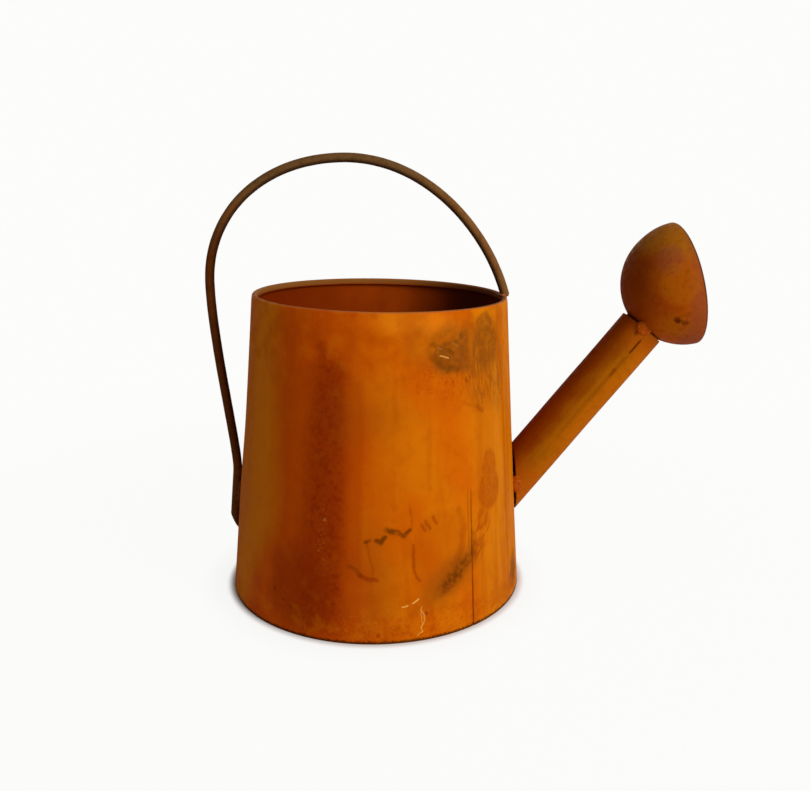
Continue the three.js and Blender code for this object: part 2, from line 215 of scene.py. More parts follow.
def skin(name, grid, poles=False):
    """A closed mesh over a grid of points: columns wrap round, rows wrap too or end in two poles."""
    rows, columns = grid.shape[:2]
    here = np.arange(rows * columns).reshape(rows, columns)
    after = np.roll(here, -1, axis=1)
    last = rows - 1 if poles else rows
    above, above_after = np.roll(here, -1, axis=0)[:last], np.roll(after, -1, axis=0)[:last]
    faces = np.stack([here[:last], after[:last], above_after, above], axis=-1).reshape(-1, 4).tolist()
    points = grid.reshape(-1, 3)
    if poles:
        low, high = rows * columns, rows * columns + 1
        points = np.vstack([points, grid[0].mean(axis=0), grid[-1].mean(axis=0)])
        faces += [[low, after[0, j], here[0, j]] for j in range(columns)]
        faces += [[high, here[-1, j], after[-1, j]] for j in range(columns)]
    corners = [points[[face[0], face[i], face[i + 1]]] for face in faces for i in range(1, len(face) - 1)]
    corners = np.array(corners)
    volume = np.einsum("ij,ij->", corners[:, 0], np.cross(corners[:, 1], corners[:, 2]))
    if volume < 0:
        faces = [face[::-1] for face in faces]
    mesh = bpy.data.meshes.new(name)
    mesh.from_pydata(points.tolist(), [], faces)
    return shown(name, mesh)


def placed(name, data):
    made = bpy.data.objects.new(name, data)
    bpy.context.scene.collection.objects.link(made)
    return made


def shown(name, mesh):
    mesh.shade_smooth()
    mesh.set_sharp_from_angle(angle=SHARP_ANGLE)
    return placed(name, mesh)


def settled(piece):
    """Turns a piece with live modifiers into a plain mesh."""
    made = bpy.data.meshes.new_from_object(piece.evaluated_get(bpy.context.evaluated_depsgraph_get()))
    piece.modifiers.clear()
    piece.data = made
    return piece


def bored(piece, direction, start, radius, length):
    """Cuts a round hole along a direction."""
    steps = np.linspace(0, length, 2)
    hole = skin("hole", rings(start + np.outer(steps, direction), [radius] * 2, direction), poles=True)
    cut = piece.modifiers.new("hole", "BOOLEAN")
    cut.operation = "DIFFERENCE"
    cut.object = hole
    settled(piece)
    bpy.data.objects.remove(hole)
    piece.data.shade_smooth()
    piece.data.set_sharp_from_angle(angle=SHARP_ANGLE)
    return piece


def rings(centres, radii, direction, sides=64):
    """Rings of points about these centres, square to a direction in the plane Y = 0."""
    across = np.array([direction[2], 0, -direction[0]])
    turns = full_turn(sides)
    circle = np.outer(np.cos(turns), across) + np.outer(np.sin(turns), (0, 1, 0))
    return np.array([centre + radius * circle for centre, radius in zip(centres, radii)])


# The sheet isn't perfectly true: it hollows a little at mid height, most on the left, and waves. It
# stays true behind the handle's foot, which stiffens it
def wall_dent(azimuths, heights):
    level = heights / WALL_HEIGHT
    hollow = WALL_HOLLOW * (0.35 + 0.65 * np.exp(-((np.abs(azimuths) - math.pi) / 0.9) ** 2))
    wave = np.sin(3 * azimuths + 1.3 + 2 * level) * np.sin(5.1 * level + 0.6)
    wave = wave + np.sin(7 * azimuths - 3 * level)
    from_foot = ((np.abs(azimuths) - math.pi) / 0.2) ** 2 + ((level - 0.28) / 0.25) ** 2
    give = np.sin(math.pi * np.clip(level, 0, 1)) * (1 - np.exp(-from_foot ** 2))
    return give * (hollow + WALL_WAVE * (1 + wave / 2))


hem_centre = (RIM_RADIUS - HEM_RADIUS, WALL_HEIGHT - HEM_RADIUS)
hem_end = hem_centre[1] - HEM_DROP
outside_heights = np.linspace(FOOT_ROUNDING, hem_centre[1], WALL_ROWS)[1:-1]
wall_profile = np.vstack([
    arc(wall_radius(0) - FOOT_ROUNDING, FOOT_ROUNDING, FOOT_ROUNDING, -90, 0, 3),
    np.stack([wall_radius(outside_heights), outside_heights], axis=-1),
    arc(*hem_centre, HEM_RADIUS, 0, 180, 12),
    [(hem_centre[0] - HEM_RADIUS, hem_end), (hem_centre[0] - HEM_RADIUS + SHEET, hem_end)],
    arc(*hem_centre, HEM_RADIUS - SHEET, 180, 0, 8),
    np.stack([wall_radius(outside_heights) - SHEET, outside_heights], axis=-1)[::-3],
    arc(wall_radius(0) - SHEET + FOOT_ROUNDING, FOOT_ROUNDING, FOOT_ROUNDING, 180, 270, 3),
])
outer_rows = 4 + len(outside_heights)
seam_steps = np.array([-0.7, -0.45, -0.3, -0.2, -0.1, 0, 0.1, 0.2, 0.3, 0.45, 0.7]) * MM / wall_radius(0)
even_turns = np.linspace(-math.pi, math.pi, WALL_COLUMNS, endpoint=False)
wall_turns = np.sort(np.concatenate([
    even_turns[np.abs(even_turns - SEAM_AZIMUTH) > SEAM_CLEARANCE],
    SEAM_AZIMUTH + seam_steps,
]))
turn_grid, row_grid = np.meshgrid(wall_turns, np.arange(len(wall_profile)))
radius_grid, height_grid = wall_profile[row_grid, 0], wall_profile[row_grid, 1]
off_seam = (turn_grid - SEAM_AZIMUTH) * radius_grid
seam_open = 0.2 + 0.8 / (1 + np.exp((height_grid - SEAM_OPEN_HEIGHT) / (2 * MM)))
groove = np.where(row_grid < outer_rows, SEAM_DEPTH * seam_open * np.exp(-(off_seam / SEAM_WIDTH) ** 2), 0)
radius_grid = radius_grid - wall_dent(turn_grid, height_grid) - groove
wall = skin("weathered_wall", lean(spun(radius_grid, turn_grid, height_grid)))

spout_root = wall_point(0, SPOUT_ROOT_HEIGHT, 0)
spout_up = np.array([math.cos(SPOUT_ANGLE), 0, math.sin(SPOUT_ANGLE)])
bored(wall, spout_up, spout_root - 3 * WATER_HOLE_RADIUS * spout_up, WATER_HOLE_RADIUS, 6 * WATER_HOLE_RADIUS)

# Marks on the wall are placed as on the flat sheet, by azimuth and height: at the body's middle a
# degree of azimuth is this many millimetres of sheet
DEGREE = 0.942
WALL_OCHRE = tone("#cc6a04")
WALL_YELLOW = tone("#cc7406")
WALL_ORANGE = tone("#c75c02")
WALL_RED_ORANGE = tone("#bd4e02")
WALL_BROWN = tone("#a23e02")
WALL_RUST_AND_SHADE = tone("#bc4402")
WALL_DARK_RED = tone("#862602")
WALL_OLIVE = tone("#ca6e06")
WALL_BRIGHT = tone("#e27c12")
WALL_STAIN = tone("#5a2a02")
WALL_SMUDGE = tone("#82440c")
WALL_SCRATCH = tone("#f0b050")
WALL_INSIDE = tone("#ae4406")
WALL_INSIDE_RED = tone("#782402")
WALL_INSIDE_SHADE = tone("#2c0a04")
WALL_HEM = tone("#94622c")
WALL_BARE_EDGE_AND_HIGHLIGHT = tone("#b8642a")
WALL_FOOT_SHADE = tone("#2c1404")


def on_sheet(azimuth, height):
    return Vector((azimuth * DEGREE, height, 0))


def stroke(sheet, points, width):
    """A soft-edged line of this width in millimetres through points given as azimuth and height."""
    recipe = sheet.recipe
    nearest = None
    for start, end in zip(points, points[1:]):
        start, end = on_sheet(*start), on_sheet(*end)
        along = end - start
        reach = recipe.vector("SUBTRACT", sheet, start)
        share = reach.measure("DOT_PRODUCT", along / along.length_squared)
        share = recipe.node("ShaderNodeClamp", {0: share})
        foot = recipe.vector("MULTIPLY", recipe.node("ShaderNodeCombineXYZ", {0: share, 1: share}), along)
        distance = reach.measure("DISTANCE", foot)
        nearest = distance if nearest is None else recipe.maths("MINIMUM", nearest, distance)
    return nearest.fade(width * 0.75, width * 0.15)


def strokes(sheet, *lines):
    """The strongest of several soft lines, each a strength, a width and its points."""
    marks = 0
    for strength, width, *points in lines:
        marks = marks | strength * stroke(sheet, points, width)
    return marks


def patch(sheet, centre, half_size, softness, slant=0):
    """A soft oval at an azimuth and height, with half sizes in millimetres and a slant in degrees."""
    away = sheet.recipe.vector("SUBTRACT", sheet, on_sheet(*centre))
    if slant:
        away = turned(away, -slant)
    scaled = sheet.recipe.vector("MULTIPLY", away, (1 / half_size[0], 1 / half_size[1], 0))
    return scaled.measure("LENGTH").fade(1 + softness, 1 - softness)


def patches(sheet, *spots):
    """The strongest of several soft ovals, each a strength and then what patch takes."""
    marks = 0
    for strength, *spot in spots:
        marks = marks | strength * patch(sheet, *spot)
    return marks


def turned(sheet, degrees):
    values = {"Vector": sheet, "Angle": math.radians(degrees)}
    return sheet.recipe.node("ShaderNodeVectorRotate", values, {"rotation_type": "Z_AXIS"})


def shaken(place, sheet, size, reach, detail):
    """A position, shaken by noise so that what is drawn there has ragged edges."""
    recipe = sheet.recipe
    values = {"Vector": place, "Scale": 1 / size, "Detail": detail}
    shake = recipe.node("ShaderNodeTexNoise", values, output="Color")
    return recipe.vector("MULTIPLY_ADD", recipe.vector("SUBTRACT", shake, (0.5, 0.5, 0.5)), reach, sheet)


def rust_bands(colour, place, azimuth, height, sheet, mottle):
    """Ochre on the right, and vertical bands of older, redder and greener rust on the left; the redder rust
    also stands in part for painted shade on the side turned from the lamp.
    """
    clouds = place.noise(26, detail=4, stretch=(1, 1, 0.5), shift=3)
    streaks = place.noise(6, detail=4, stretch=(1, 1, 0.07), shift=11)
    edge = azimuth + 10 * (clouds - 0.5) + 8 * (streaks - 0.5) + 3 * (mottle - 0.5)
    colour = colour.covered(0.8 * edge.fade(-56, -38), WALL_YELLOW)
    colour = colour.covered(0.25 * streaks.fade(0.5, 0.66), WALL_BROWN)
    leaning = edge + 0.25 * (height - 80 | 0)
    step = (azimuth + 3 * (mottle - 0.5)).fade(-95, -97.5)
    cleaner = (1 - step) * height.fade(24, 34) * height.fade(66, 54)
    # Redder rust over the left, laid dark enough to be in part a painted shade of the side turned from the
    # lamp
    colour = colour.covered(leaning.fade(-77, -105) * (0.85 - 0.4 * cleaner), WALL_RUST_AND_SHADE)
    colour = colour.covered(0.32 * step * height.fade(20, 32) * height.fade(102, 92), WALL_BROWN)
    turned_away = abs(azimuth) + 14 * (clouds - 0.5) + 6 * (streaks - 0.5) - 0.35 * (40 - height | 0)
    colour = colour.covered(0.9 * turned_away.fade(129, 143), WALL_OLIVE)
    colour = colour.covered(0.3 * turned_away.fade(147, 160), WALL_BROWN)
    across = azimuth + 6 * (clouds - 0.5) + 5 * (mottle - 0.5)
    band = (across - 0.06 * (height - 50)).fade(-125, -114) * across.fade(-98.5, -107.5)
    band = band * (height + 8 * (clouds - 0.5)).fade(106, 96) * height.fade(-6, 12)
    band = band | 0.75 * stroke(sheet, [(-113.5, 104), (-112, 88)], 7)
    flecks = place.noise(2, detail=5, shift=14).fade(0.44, 0.64)
    colour = colour.covered(band * (0.7 + 0.25 * flecks), WALL_DARK_RED)
    return colour.covered(0.65 * patch(sheet, (-120, 17), (12, 16), 0.4), WALL_DARK_RED)


def rust_blotches(colour, place, azimuth, height, sheet):
    """Uneven rust near the mouth and the foot, with redder clouds below the mouth."""
    blotches = place.noise(7, detail=6, shift=13)
    colour = colour.covered(0.55 * patch(sheet, (-76, 114), (16, 4.5), 0.6), WALL_BRIGHT)
    brown = patches(sheet, (0.25, (-93, 20), (8, 22), 0.6), (0.2, (-96, 82), (14, 9), 0.6))
    colour = colour.covered(brown, WALL_SMUDGE)
    red_cloud = patches(sheet, (1, (-66, 93), (15, 9), 0.5), (0.7, (-92, 104), (15, 5.5), 0.5))
    colour = colour.covered(0.45 * red_cloud, WALL_RED_ORANGE)
    share = 0.1 + 0.24 * (height.fade(84, 106) | height.fade(26, 6))
    colour = colour.covered(share * blotches.fade(0.45, 0.66), WALL_BROWN)
    colour = colour.covered(0.6 * share * blotches.fade(0.5, 0.34), WALL_YELLOW)
    colour = colour.covered(0.2 * patch(sheet, (-47, 89), (15, 8), 0.6), WALL_BROWN)
    specks = place.noise(1.4, detail=4, shift=9)
    low = height.fade(16, 4) * (0.3 + 0.7 * azimuth.fade(-112, -98))
    speckled = 0.45 * patch(sheet, (-64, 92), (13, 6), 0.5) | 0.5 * low
    colour = colour.covered(speckled * specks.fade(0.54, 0.66), WALL_BROWN)
    return colour.covered(0.7 * speckled * specks.fade(0.46, 0.36), WALL_OCHRE)


def rubbed_smudge(colour, place, true_sheet):
    """A brown smudge rubbed in below the mouth, with finger marks in it and brush marks under it."""
    soft = shaken(place, true_sheet, 4, (3, 3, 0), 5)
    smudge = patches(
        soft,
        (0.62, (-61, 104), (11, 9), 0.3),
        (0.85, (-42, 103.5), (9, 9.5), 0.3),
        (0.95, (-60.5, 101.5), (8.8, 6.4), 0.2),
        (0.55, (-49.5, 104), (8, 9), 0.4),
        (0.3, (-74, 106), (6, 8), 0.5),
    )
    upright, arch = [(-55, 107.5), (-54.5, 98)], [(-46, 111.5), (-41, 113), (-38, 110.5)]
    smudge = smudge | strokes(soft, (1, 7, *upright), (0.8, 4.5, *arch))
    rubs = place.noise(2, detail=6, shift=2)
    smudge = smudge * (0.72 + 0.28 * rubs.fade(0.38, 0.6))
    colour = colour.covered(smudge, WALL_SMUDGE)
    fingers = strokes(
        soft,
        (1, 1.8, (-70, 106), (-66.2, 104.7), (-60.8, 102.5)),
        (1, 3, (-69.7, 101.2), (-64.1, 98.6), (-58, 96.4)),
    )
    colour = colour.covered(0.35 * fingers, WALL_STAIN)
    lines = turned(soft, -11).noise(1, detail=4, stretch=(1, 0.16, 1), shift=6)
    brushed = patches(soft, (1, (-44, 93), (9, 10.5), 0.4), (1, (-35, 94), (7, 15), 0.4))
    brushed = brushed * (1 - 0.7 * smudge)
    colour = colour.covered(brushed * (0.28 + 0.4 * lines.fade(0.46, 0.6)), WALL_SMUDGE)
    colour = colour.covered(0.4 * brushed * lines.fade(0.46, 0.36), WALL_YELLOW)
    flecks = patch(soft, (-57, 92), (7, 2.5), 0.6) * rubs.fade(0.54, 0.62)
    return colour.covered(0.6 * flecks, WALL_DARK_RED), smudge


def brush_stains(colour, place, sheet):
    """Stains left by a wet brush low on the front."""
    stain = strokes(
        sheet,
        (0.6, 1.6, (-101, 28.8), (-98.3, 27.9), (-96, 25.6)),
        (1, 1.3, (-94.6, 37.9), (-93.4, 38.3)),
        (1, 1.9, (-90.7, 38.3), (-89.1, 37.7), (-87.7, 39.6)),
        (1, 2.2, (-87.2, 42.2), (-83, 40.9)),
        (1, 1.7, (-83, 40.9), (-80.8, 39.7), (-78.6, 41.5)),
        (0.4, 0.8, (-78.6, 50.4), (-77.9, 46.7), (-77.6, 41.5)),
    )
    patchy = place.noise(2.2, shift=8).fade(0.34, 0.56)
    colour = colour.covered(0.78 * stain * (0.5 + 0.5 * patchy), WALL_STAIN)
    colour = colour.covered(0.22 * patch(sheet, (-67, 31.5), (10, 16), 0.14), WALL_BROWN)
    line = strokes(
        sheet,
        (0.8, 1.1, (-77.2, 36), (-77.3, 30.7), (-76.8, 26.2), (-75, 22.5)),
        (1, 1.9, (-96.5, 25.6), (-94, 24.3), (-90.7, 24)),
        (0.5, 0.9, (-94.4, 38.2), (-93, 32.4), (-91.8, 26)),
        (0.5, 3, (-58.5, 46), (-56.3, 39), (-57.5, 31), (-61, 26)),
        (0.8, 1.3, (-72.6, 44.3), (-70.6, 41.5)),
        (0.8, 1.3, (-69.6, 45.4), (-68.2, 42.9)),
        (0.8, 1.3, (-73.9, 42.9), (-72.8, 40.9)),
    )
    colour = colour.covered(0.55 * line, WALL_DARK_RED)
    colour = colour.covered(0.5 * patch(sheet, (-62, 22), (13, 6), 0.6, 37), WALL_SMUDGE)
    wipe = patches(sheet, (1, (-60, 22.5), (9, 2.8), 0.6, 40), (0.8, (-51.8, 30), (1.8, 6), 0.6))
    wipe = wipe * (0.35 + 0.65 * place.noise(2, detail=6, shift=1).fade(0.38, 0.58))
    return colour.covered(0.75 * wipe, WALL_STAIN)


def slanting_marks(colour, place, sheet, true_sheet):
    """Brush marks and streaks on the right, and the dark patch low beside the spout."""
    ragged = shaken(place, true_sheet, 6, (7, 7, 0), 5)
    leaf = patches(sheet, (1, (-41, 50), (6.8, 7.8), 0.15), (1, (-41, 58), (4.6, 7.5), 0.2))
    leaf = leaf * (0.75 + 0.25 * place.noise(1.6, detail=4, shift=12).fade(0.4, 0.6))
    hatch = turned(true_sheet, 36).noise(1.2, stretch=(1, 0.25, 1)).fade(0.44, 0.56)
    feather = hatch * patch(sheet, (-46.4, 36), (4, 12), 0.3, -16)
    streak = true_sheet.noise(3, stretch=(1, 0.05, 1), shift=4)
    streaked = patch(sheet, (-31, 60), (7, 62), 0.5)
    low_rust = 0.35 * patch(ragged, (-34, 6), (8, 4), 0.5)
    veil = 0.2 * patch(sheet, (-43, 70), (5, 24), 0.5)
    marks = 0.66 * leaf | 0.6 * feather | 0.4 * streaked * streak.fade(0.44, 0.62) | low_rust | veil
    colour = colour.covered(marks, WALL_BROWN)
    colour = colour.covered(0.08 * streaked * streak.fade(0.47, 0.34), WALL_SCRATCH)
    return colour.covered(0.6 * patch(ragged, (-21, 10), (3.6, 8), 0.5), WALL_STAIN)


def small_marks(colour, place, height, sheet, true_sheet):
    """Pits, the dark lines of the seam and bright scratches through the rust."""
    pits = strokes(sheet, (0.7, 2, (-45, 80), (-48, 82)), (0.3, 1.6, (-48, 82), (-55.5, 84.5)))
    for azimuth, level in (
        (-131, 15.3), (-126.7, 12), (-123, 10.3), (-109.5, 12.2), (-104.7, 20), (-89.8, 3.5), (-72.2, 10.1),
    ):
        pits = pits | patch(sheet, (azimuth, level), (0.6, 0.8), 0.6)
    colour = colour.covered(0.65 * pits, WALL_DARK_RED)
    seam_at = math.degrees(SEAM_AZIMUTH)
    seam = stroke(true_sheet, [(seam_at, 52), (seam_at, 0)], 0.8) * (0.55 + 0.45 * height.fade(26, 10))
    twin = 0.5 * stroke(true_sheet, [(-54.1, 53), (-53.9, 31)], 0.6)
    colour = colour.covered(0.6 * (twin | seam), WALL_STAIN)
    curl = (-74.5, 12), (-73.4, 10.2), (-73, 7.9), (-73.8, 6.4), (-74.6, 5.2), (-73.8, 3.4), (-75.6, 2.4)
    scratch = strokes(
        sheet,
        (0.8, 0.5, (-66.1, 102), (-62.3, 101)),
        (0.2, 0.5, (-67, 104.8), (-65, 104.1)),
        (0.15, 0.6, (-60, 106), (-58, 104.6)),
        (1, 0.5, (-81.2, 13.6), (-79.4, 13.8)),
        (1, 0.65, (-77.6, 14.5), (-75.6, 15.9)),
        (0.6, 0.4, *curl),
        (0.5, 0.35, (-74.2, 13), (-74.2, 3)),
    )
    chips = place.noise(1.6, detail=5, shift=15, warp=1.5).fade(0.56, 0.68)
    chipped = patches(sheet, (0.22, (-111, 40), (1.8, 12), 0.5), (0.08, (-90, 8), (14, 6), 0.5))
    scratch = scratch | chipped * chips
    return colour.covered(0.8 * scratch, WALL_SCRATCH), scratch - 0.6 * pits


def wall_finish():
    material, recipe, shader, place = finish("rusted_wall")
    x, y, z = (place.axis(name) for name in "XYZ")
    centred = x - z * math.tan(WALL_LEAN)
    azimuth = recipe.maths("ARCTAN2", y, centred) * math.degrees(1)
    true_sheet = recipe.node("ShaderNodeCombineXYZ", {0: azimuth * DEGREE, 1: z})
    sheet = shaken(place, true_sheet, 3, (1.3, 1.3, 0), 3)
    mottle = place.noise(4, detail=6, shift=7)
    grain = place.noise(0.8, shift=5)
    clouds = place.noise(17, detail=4, stretch=(1, 1, 0.6), shift=21)

    colour = recipe.laid(clouds.fade(0.36, 0.64), WALL_ORANGE, WALL_OCHRE)
    colour = colour.covered(0.22 * mottle.fade(0.5, 0.72), WALL_BROWN)
    loose_sheet = shaken(place, true_sheet, 11, (12, 12, 0), 5)
    colour = rust_bands(colour, place, azimuth, z, loose_sheet, mottle)
    colour = rust_blotches(colour, place, azimuth, z, loose_sheet)
    colour, smudge = rubbed_smudge(colour, place, true_sheet)
    colour = brush_stains(colour, place, sheet)
    colour = slanting_marks(colour, place, sheet, true_sheet)
    colour, marks = small_marks(colour, place, z, sheet, true_sheet)
    # Painted shade: a dark line along the wall's lower edge, where it stands on the floor
    foot = (z + 2 * (grain - 0.5)).fade(1.6, 0.5)
    colour = colour.covered(0.85 * foot, WALL_FOOT_SHADE)

    # The inside is plain dark rust with painted shade towards the spout; the hem's crest is rubbed bare, with
    # a painted highlight
    radius = recipe.maths("SQRT", centred * centred + y * y)
    slope = (BASE_RADIUS - RIM_RADIUS) / WALL_HEIGHT
    inside = (radius + z * slope).fade(BASE_RADIUS / MM - 0.35, BASE_RADIUS / MM - 0.65)
    within = recipe.laid(0.45 * clouds.fade(0.28, 0.72), WALL_INSIDE, WALL_INSIDE_RED)
    within = within.covered(0.85 * x.fade(-2, -40), WALL_INSIDE_RED)
    to_mouth = z + x * math.sin(WALL_LEAN) - WALL_HEIGHT / MM
    hem = to_mouth.fade(-2.2, -1.6)
    within = within.covered(0.75 * hem, WALL_HEM)
    # Painted shade: the inside darkens towards the spout, less so on the hem
    within = within.covered((0.85 - 0.25 * hem) * x.fade(10, 43), WALL_INSIDE_SHADE)
    colour = colour.covered(inside, within)
    # Painted highlight along the hem's crest, strongest at the front and right, laid with the bare rubbed
    # edge
    crest_wear_and_highlight = to_mouth.fade(-0.7, -0.25)
    crest_wear_and_highlight = crest_wear_and_highlight * (0.4 + 0.6 * mottle.fade(0.4, 0.6)) * (1 - 0.7 * y.fade(0, 20))
    crest_wear_and_highlight = crest_wear_and_highlight * (0.3 + 0.7 * x.fade(-40, 0))
    colour = colour.covered(0.58 * crest_wear_and_highlight, WALL_BARE_EDGE_AND_HIGHLIGHT)

    roughness = 0.46 + 0.2 * mottle.fade(0.4, 0.65) + 0.15 * smudge - 0.1 * crest_wear_and_highlight
    coat(recipe, shader, colour, roughness, 0.6 * grain + 0.9 * mottle - 0.5 * marks, 0.1 * MM)
    return material


wall.data.materials.append(wall_finish())
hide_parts("body_wall")
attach(wall, "root")

# Base plate. A disc of the same sheet set inside the wall, level with its lower edge, a little
# dished upwards in the middle, and never rubbed, so that it is a duller and darker rust.
DISH = 0.25 * MM
BASE_DISH_RINGS = 24
BASE_COLUMNS = 144
BASE_BROWN = tone("#6b3210")
BASE_DARK = tone("#3f1c09")
BASE_RUST = tone("#8a430f")
BASE_WORN = tone("#a8601c")
base_edge = wall_radius(SHEET) - SHEET - GAP


def base_disc():
    reach = np.linspace(0.02, 1, BASE_DISH_RINGS) * (base_edge - FOOT_ROUNDING)
    rise = DISH * np.cos(reach / reach[-1] * math.pi / 2) ** 2
    rim = arc(base_edge - FOOT_ROUNDING, FOOT_ROUNDING, FOOT_ROUNDING, -90, 0, 2)
    top = arc(base_edge - FOOT_ROUNDING, SHEET - FOOT_ROUNDING, FOOT_ROUNDING, 0, 90, 2)
    profile = np.vstack([
        np.stack([reach[:-1], rise[:-1]], axis=-1),
        rim,
        top,
        np.stack([reach[:-1], rise[:-1] * 0 + SHEET], axis=-1)[::-1],
    ])
    turns = full_turn(BASE_COLUMNS)
    return spun(profile[:, :1], turns, profile[:, 1:])


def base_finish():
    material, recipe, shader, place = finish("rusted_base")
    clouds = place.noise(18, detail=5, shift=4)
    mottle = place.noise(2.4, detail=4, shift=9)
    reach = recipe.vector("MULTIPLY", place, (1, 1, 0)).measure("LENGTH")
    worn = reach.fade(base_edge / MM - 6, base_edge / MM)
    colour = recipe.laid(clouds.fade(0.35, 0.65), BASE_BROWN, BASE_RUST)
    colour = colour.covered(0.8 * mottle.fade(0.48, 0.66), BASE_DARK)
    colour = colour.covered(0.35 * worn, BASE_WORN)
    roughness = 0.65 + 0.25 * mottle.fade(0.4, 0.6)
    coat(recipe, shader, colour, roughness, mottle, 0.25 * MM, sheen=0.08)
    return material


base = skin("base_disc", base_disc(), poles=True)
base.data.materials.append(base_finish())
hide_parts("base_plate")
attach(base, "root")

# Inside beads. One run of weld closes the corner between base and wall, another closes the wall's
# seam from the inside. Each is a row of overlapping puddles, left as it set.
BEAD_LEG = 1.8 * MM
BEAD_SINK = 0.76
PUDDLE_PITCH = 1.3 * MM
CORNER_POINTS = 120
BEAD_SIDES = 14
WELD_BROWN = tone("#9a420a")
WELD_DARK = tone("#4a1d08")
WELD_ORANGE = tone("#b4520c")
BEAD_BROWN = tone("#a3500f")


def weld_finish(name, light, brown=WELD_BROWN):
    material, recipe, shader, place = finish(name)
    mottle = place.noise(1.6, detail=4, shift=6)
    grain = place.noise(0.5)
    colour = recipe.laid(mottle.fade(0.4, 0.6), brown, light)
    colour = colour.covered(0.25 * grain.fade(0.52, 0.7), WELD_DARK)
    roughness = 0.42 + 0.3 * grain.fade(0.4, 0.65)
    coat(recipe, shader, colour, roughness, mottle + 0.5 * grain, 0.12 * MM, sheen=0.05)
    return material


def node_tree(name, result, **inputs):
    """A geometry node tree with named inputs: the tree, its recipe and the value of each input."""
    tree = bpy.data.node_groups.new(name, "GeometryNodeTree")
    for label, kind in inputs.items():
        tree.interface.new_socket(label.replace("_", " "), in_out="INPUT", socket_type="NodeSocket" + kind)
    tree.interface.new_socket(result, in_out="OUTPUT", socket_type="NodeSocketGeometry")
    recipe = Recipe(tree)
    given = tree.nodes.new("NodeGroupInput").outputs
    return tree, recipe, [Amount(recipe, given[i]) for i in range(len(inputs))]


def puddle_tree():
    """Sweeps an oval along a path and swells it once every puddle."""
    tree, recipe, (path, width, high, pitch, upright, look) = node_tree(
        "weld_puddles", "Bead", Path="Geometry", Width="Float", Height="Float", Pitch="Float",
        Upright="Vector", Finish="Material",
    )
    curve = recipe.node("GeometryNodeMeshToCurve", {0: path})
    spacing = {"Curve": curve, "Length": pitch * 0.2}
    finer = recipe.node("GeometryNodeResampleCurve", spacing, {"mode": "LENGTH"})
    steady = recipe.node("GeometryNodeSetCurveNormal", {"Curve": finer, "Normal": upright}, {"mode": "FREE"})
    length = recipe.node("GeometryNodeSplineParameter", output="Length")
    spread = recipe.node("ShaderNodeTexNoise", {"Scale": 220, "Detail": 2})
    phase = recipe.maths("FRACT", recipe.maths("DIVIDE", length, pitch) + 0.25 * spread)
    swell = 0.78 + 0.22 * recipe.maths("SQRT", 1 - phase * phase)
    bead = recipe.node("GeometryNodeSetCurveRadius", {"Curve": steady, "Radius": swell})
    ring = recipe.node("GeometryNodeCurvePrimitiveCircle", {"Resolution": BEAD_SIDES, "Radius": 0.5})
    sized = recipe.node("ShaderNodeCombineXYZ", {0: high, 1: width, 2: 1})
    oval = recipe.node("GeometryNodeTransform", {"Geometry": ring, "Scale": sized})
    parts = {"Curve": bead, "Profile Curve": oval, "Fill Caps": True}
    swept = recipe.node("GeometryNodeCurveToMesh", parts)
    real = recipe.node("GeometryNodeRealizeInstances", {0: swept})
    smooth = recipe.node("GeometryNodeSetShadeSmooth", {0: real})
    painted = recipe.node("GeometryNodeSetMaterial", {"Geometry": smooth, "Material": look})
    tree.links.new(painted.socket, tree.nodes.new("NodeGroupOutput").inputs[0])
    return tree


def grown(piece, tree, **sizes):
    """Runs a node tree on a piece with named sizes and keeps the result as a plain mesh."""
    modifier = piece.modifiers.new(tree.name, "NODES")
    modifier.node_group = tree
    sockets = {item.name: item.identifier for item in tree.interface.items_tree if item.in_out == "INPUT"}
    for name, value in sizes.items():
        modifier[sockets[name.replace("_", " ")]] = value
    return settled(piece)


def path_piece(name, points, closed=False):
    mesh = bpy.data.meshes.new(name)
    count = len(points)
    edges = [(i, (i + 1) % count) for i in range(count if closed else count - 1)]
    mesh.from_pydata([tuple(point) for point in points], edges, [])
    return placed(name, mesh)


puddles = puddle_tree()
inside_bead_look = weld_finish("rusted_bead", BEAD_BROWN)
bead_floor = SHEET + GAP
bead_height = SHEET + BEAD_SINK * BEAD_LEG / 2
corner_radius = wall_radius(bead_height) - SHEET - BEAD_SINK * BEAD_LEG / 2
corner = [wall_point(turn, bead_height, corner_radius - wall_radius(bead_height))
          for turn in full_turn(CORNER_POINTS)]
base_bead = grown(
    path_piece("base_bead", corner, closed=True), puddles,
    Width=BEAD_LEG, Height=BEAD_LEG, Pitch=PUDDLE_PITCH, Upright=(0, 0, 1), Finish=inside_bead_look,
)
seam_inset = SHEET + 1.5 * GAP
seam_bead = grown(
    path_piece("seam_bead", [
        wall_point(SEAM_AZIMUTH, bead_floor + BEAD_LEG + GAP, -seam_inset - 0.3 * MM),
        wall_point(SEAM_AZIMUTH, hem_end - GAP, -seam_inset - 0.3 * MM),
    ]), puddles,
    Width=2.4 * MM, Height=0.8 * MM, Pitch=PUDDLE_PITCH,
    Upright=(math.cos(SEAM_AZIMUTH), math.sin(SEAM_AZIMUTH), 0), Finish=inside_bead_look,
)
for bead, node in ((base_bead, "base_weld"), (seam_bead, "wall_seam_weld")):
    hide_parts(node)
    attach(bead, "root")

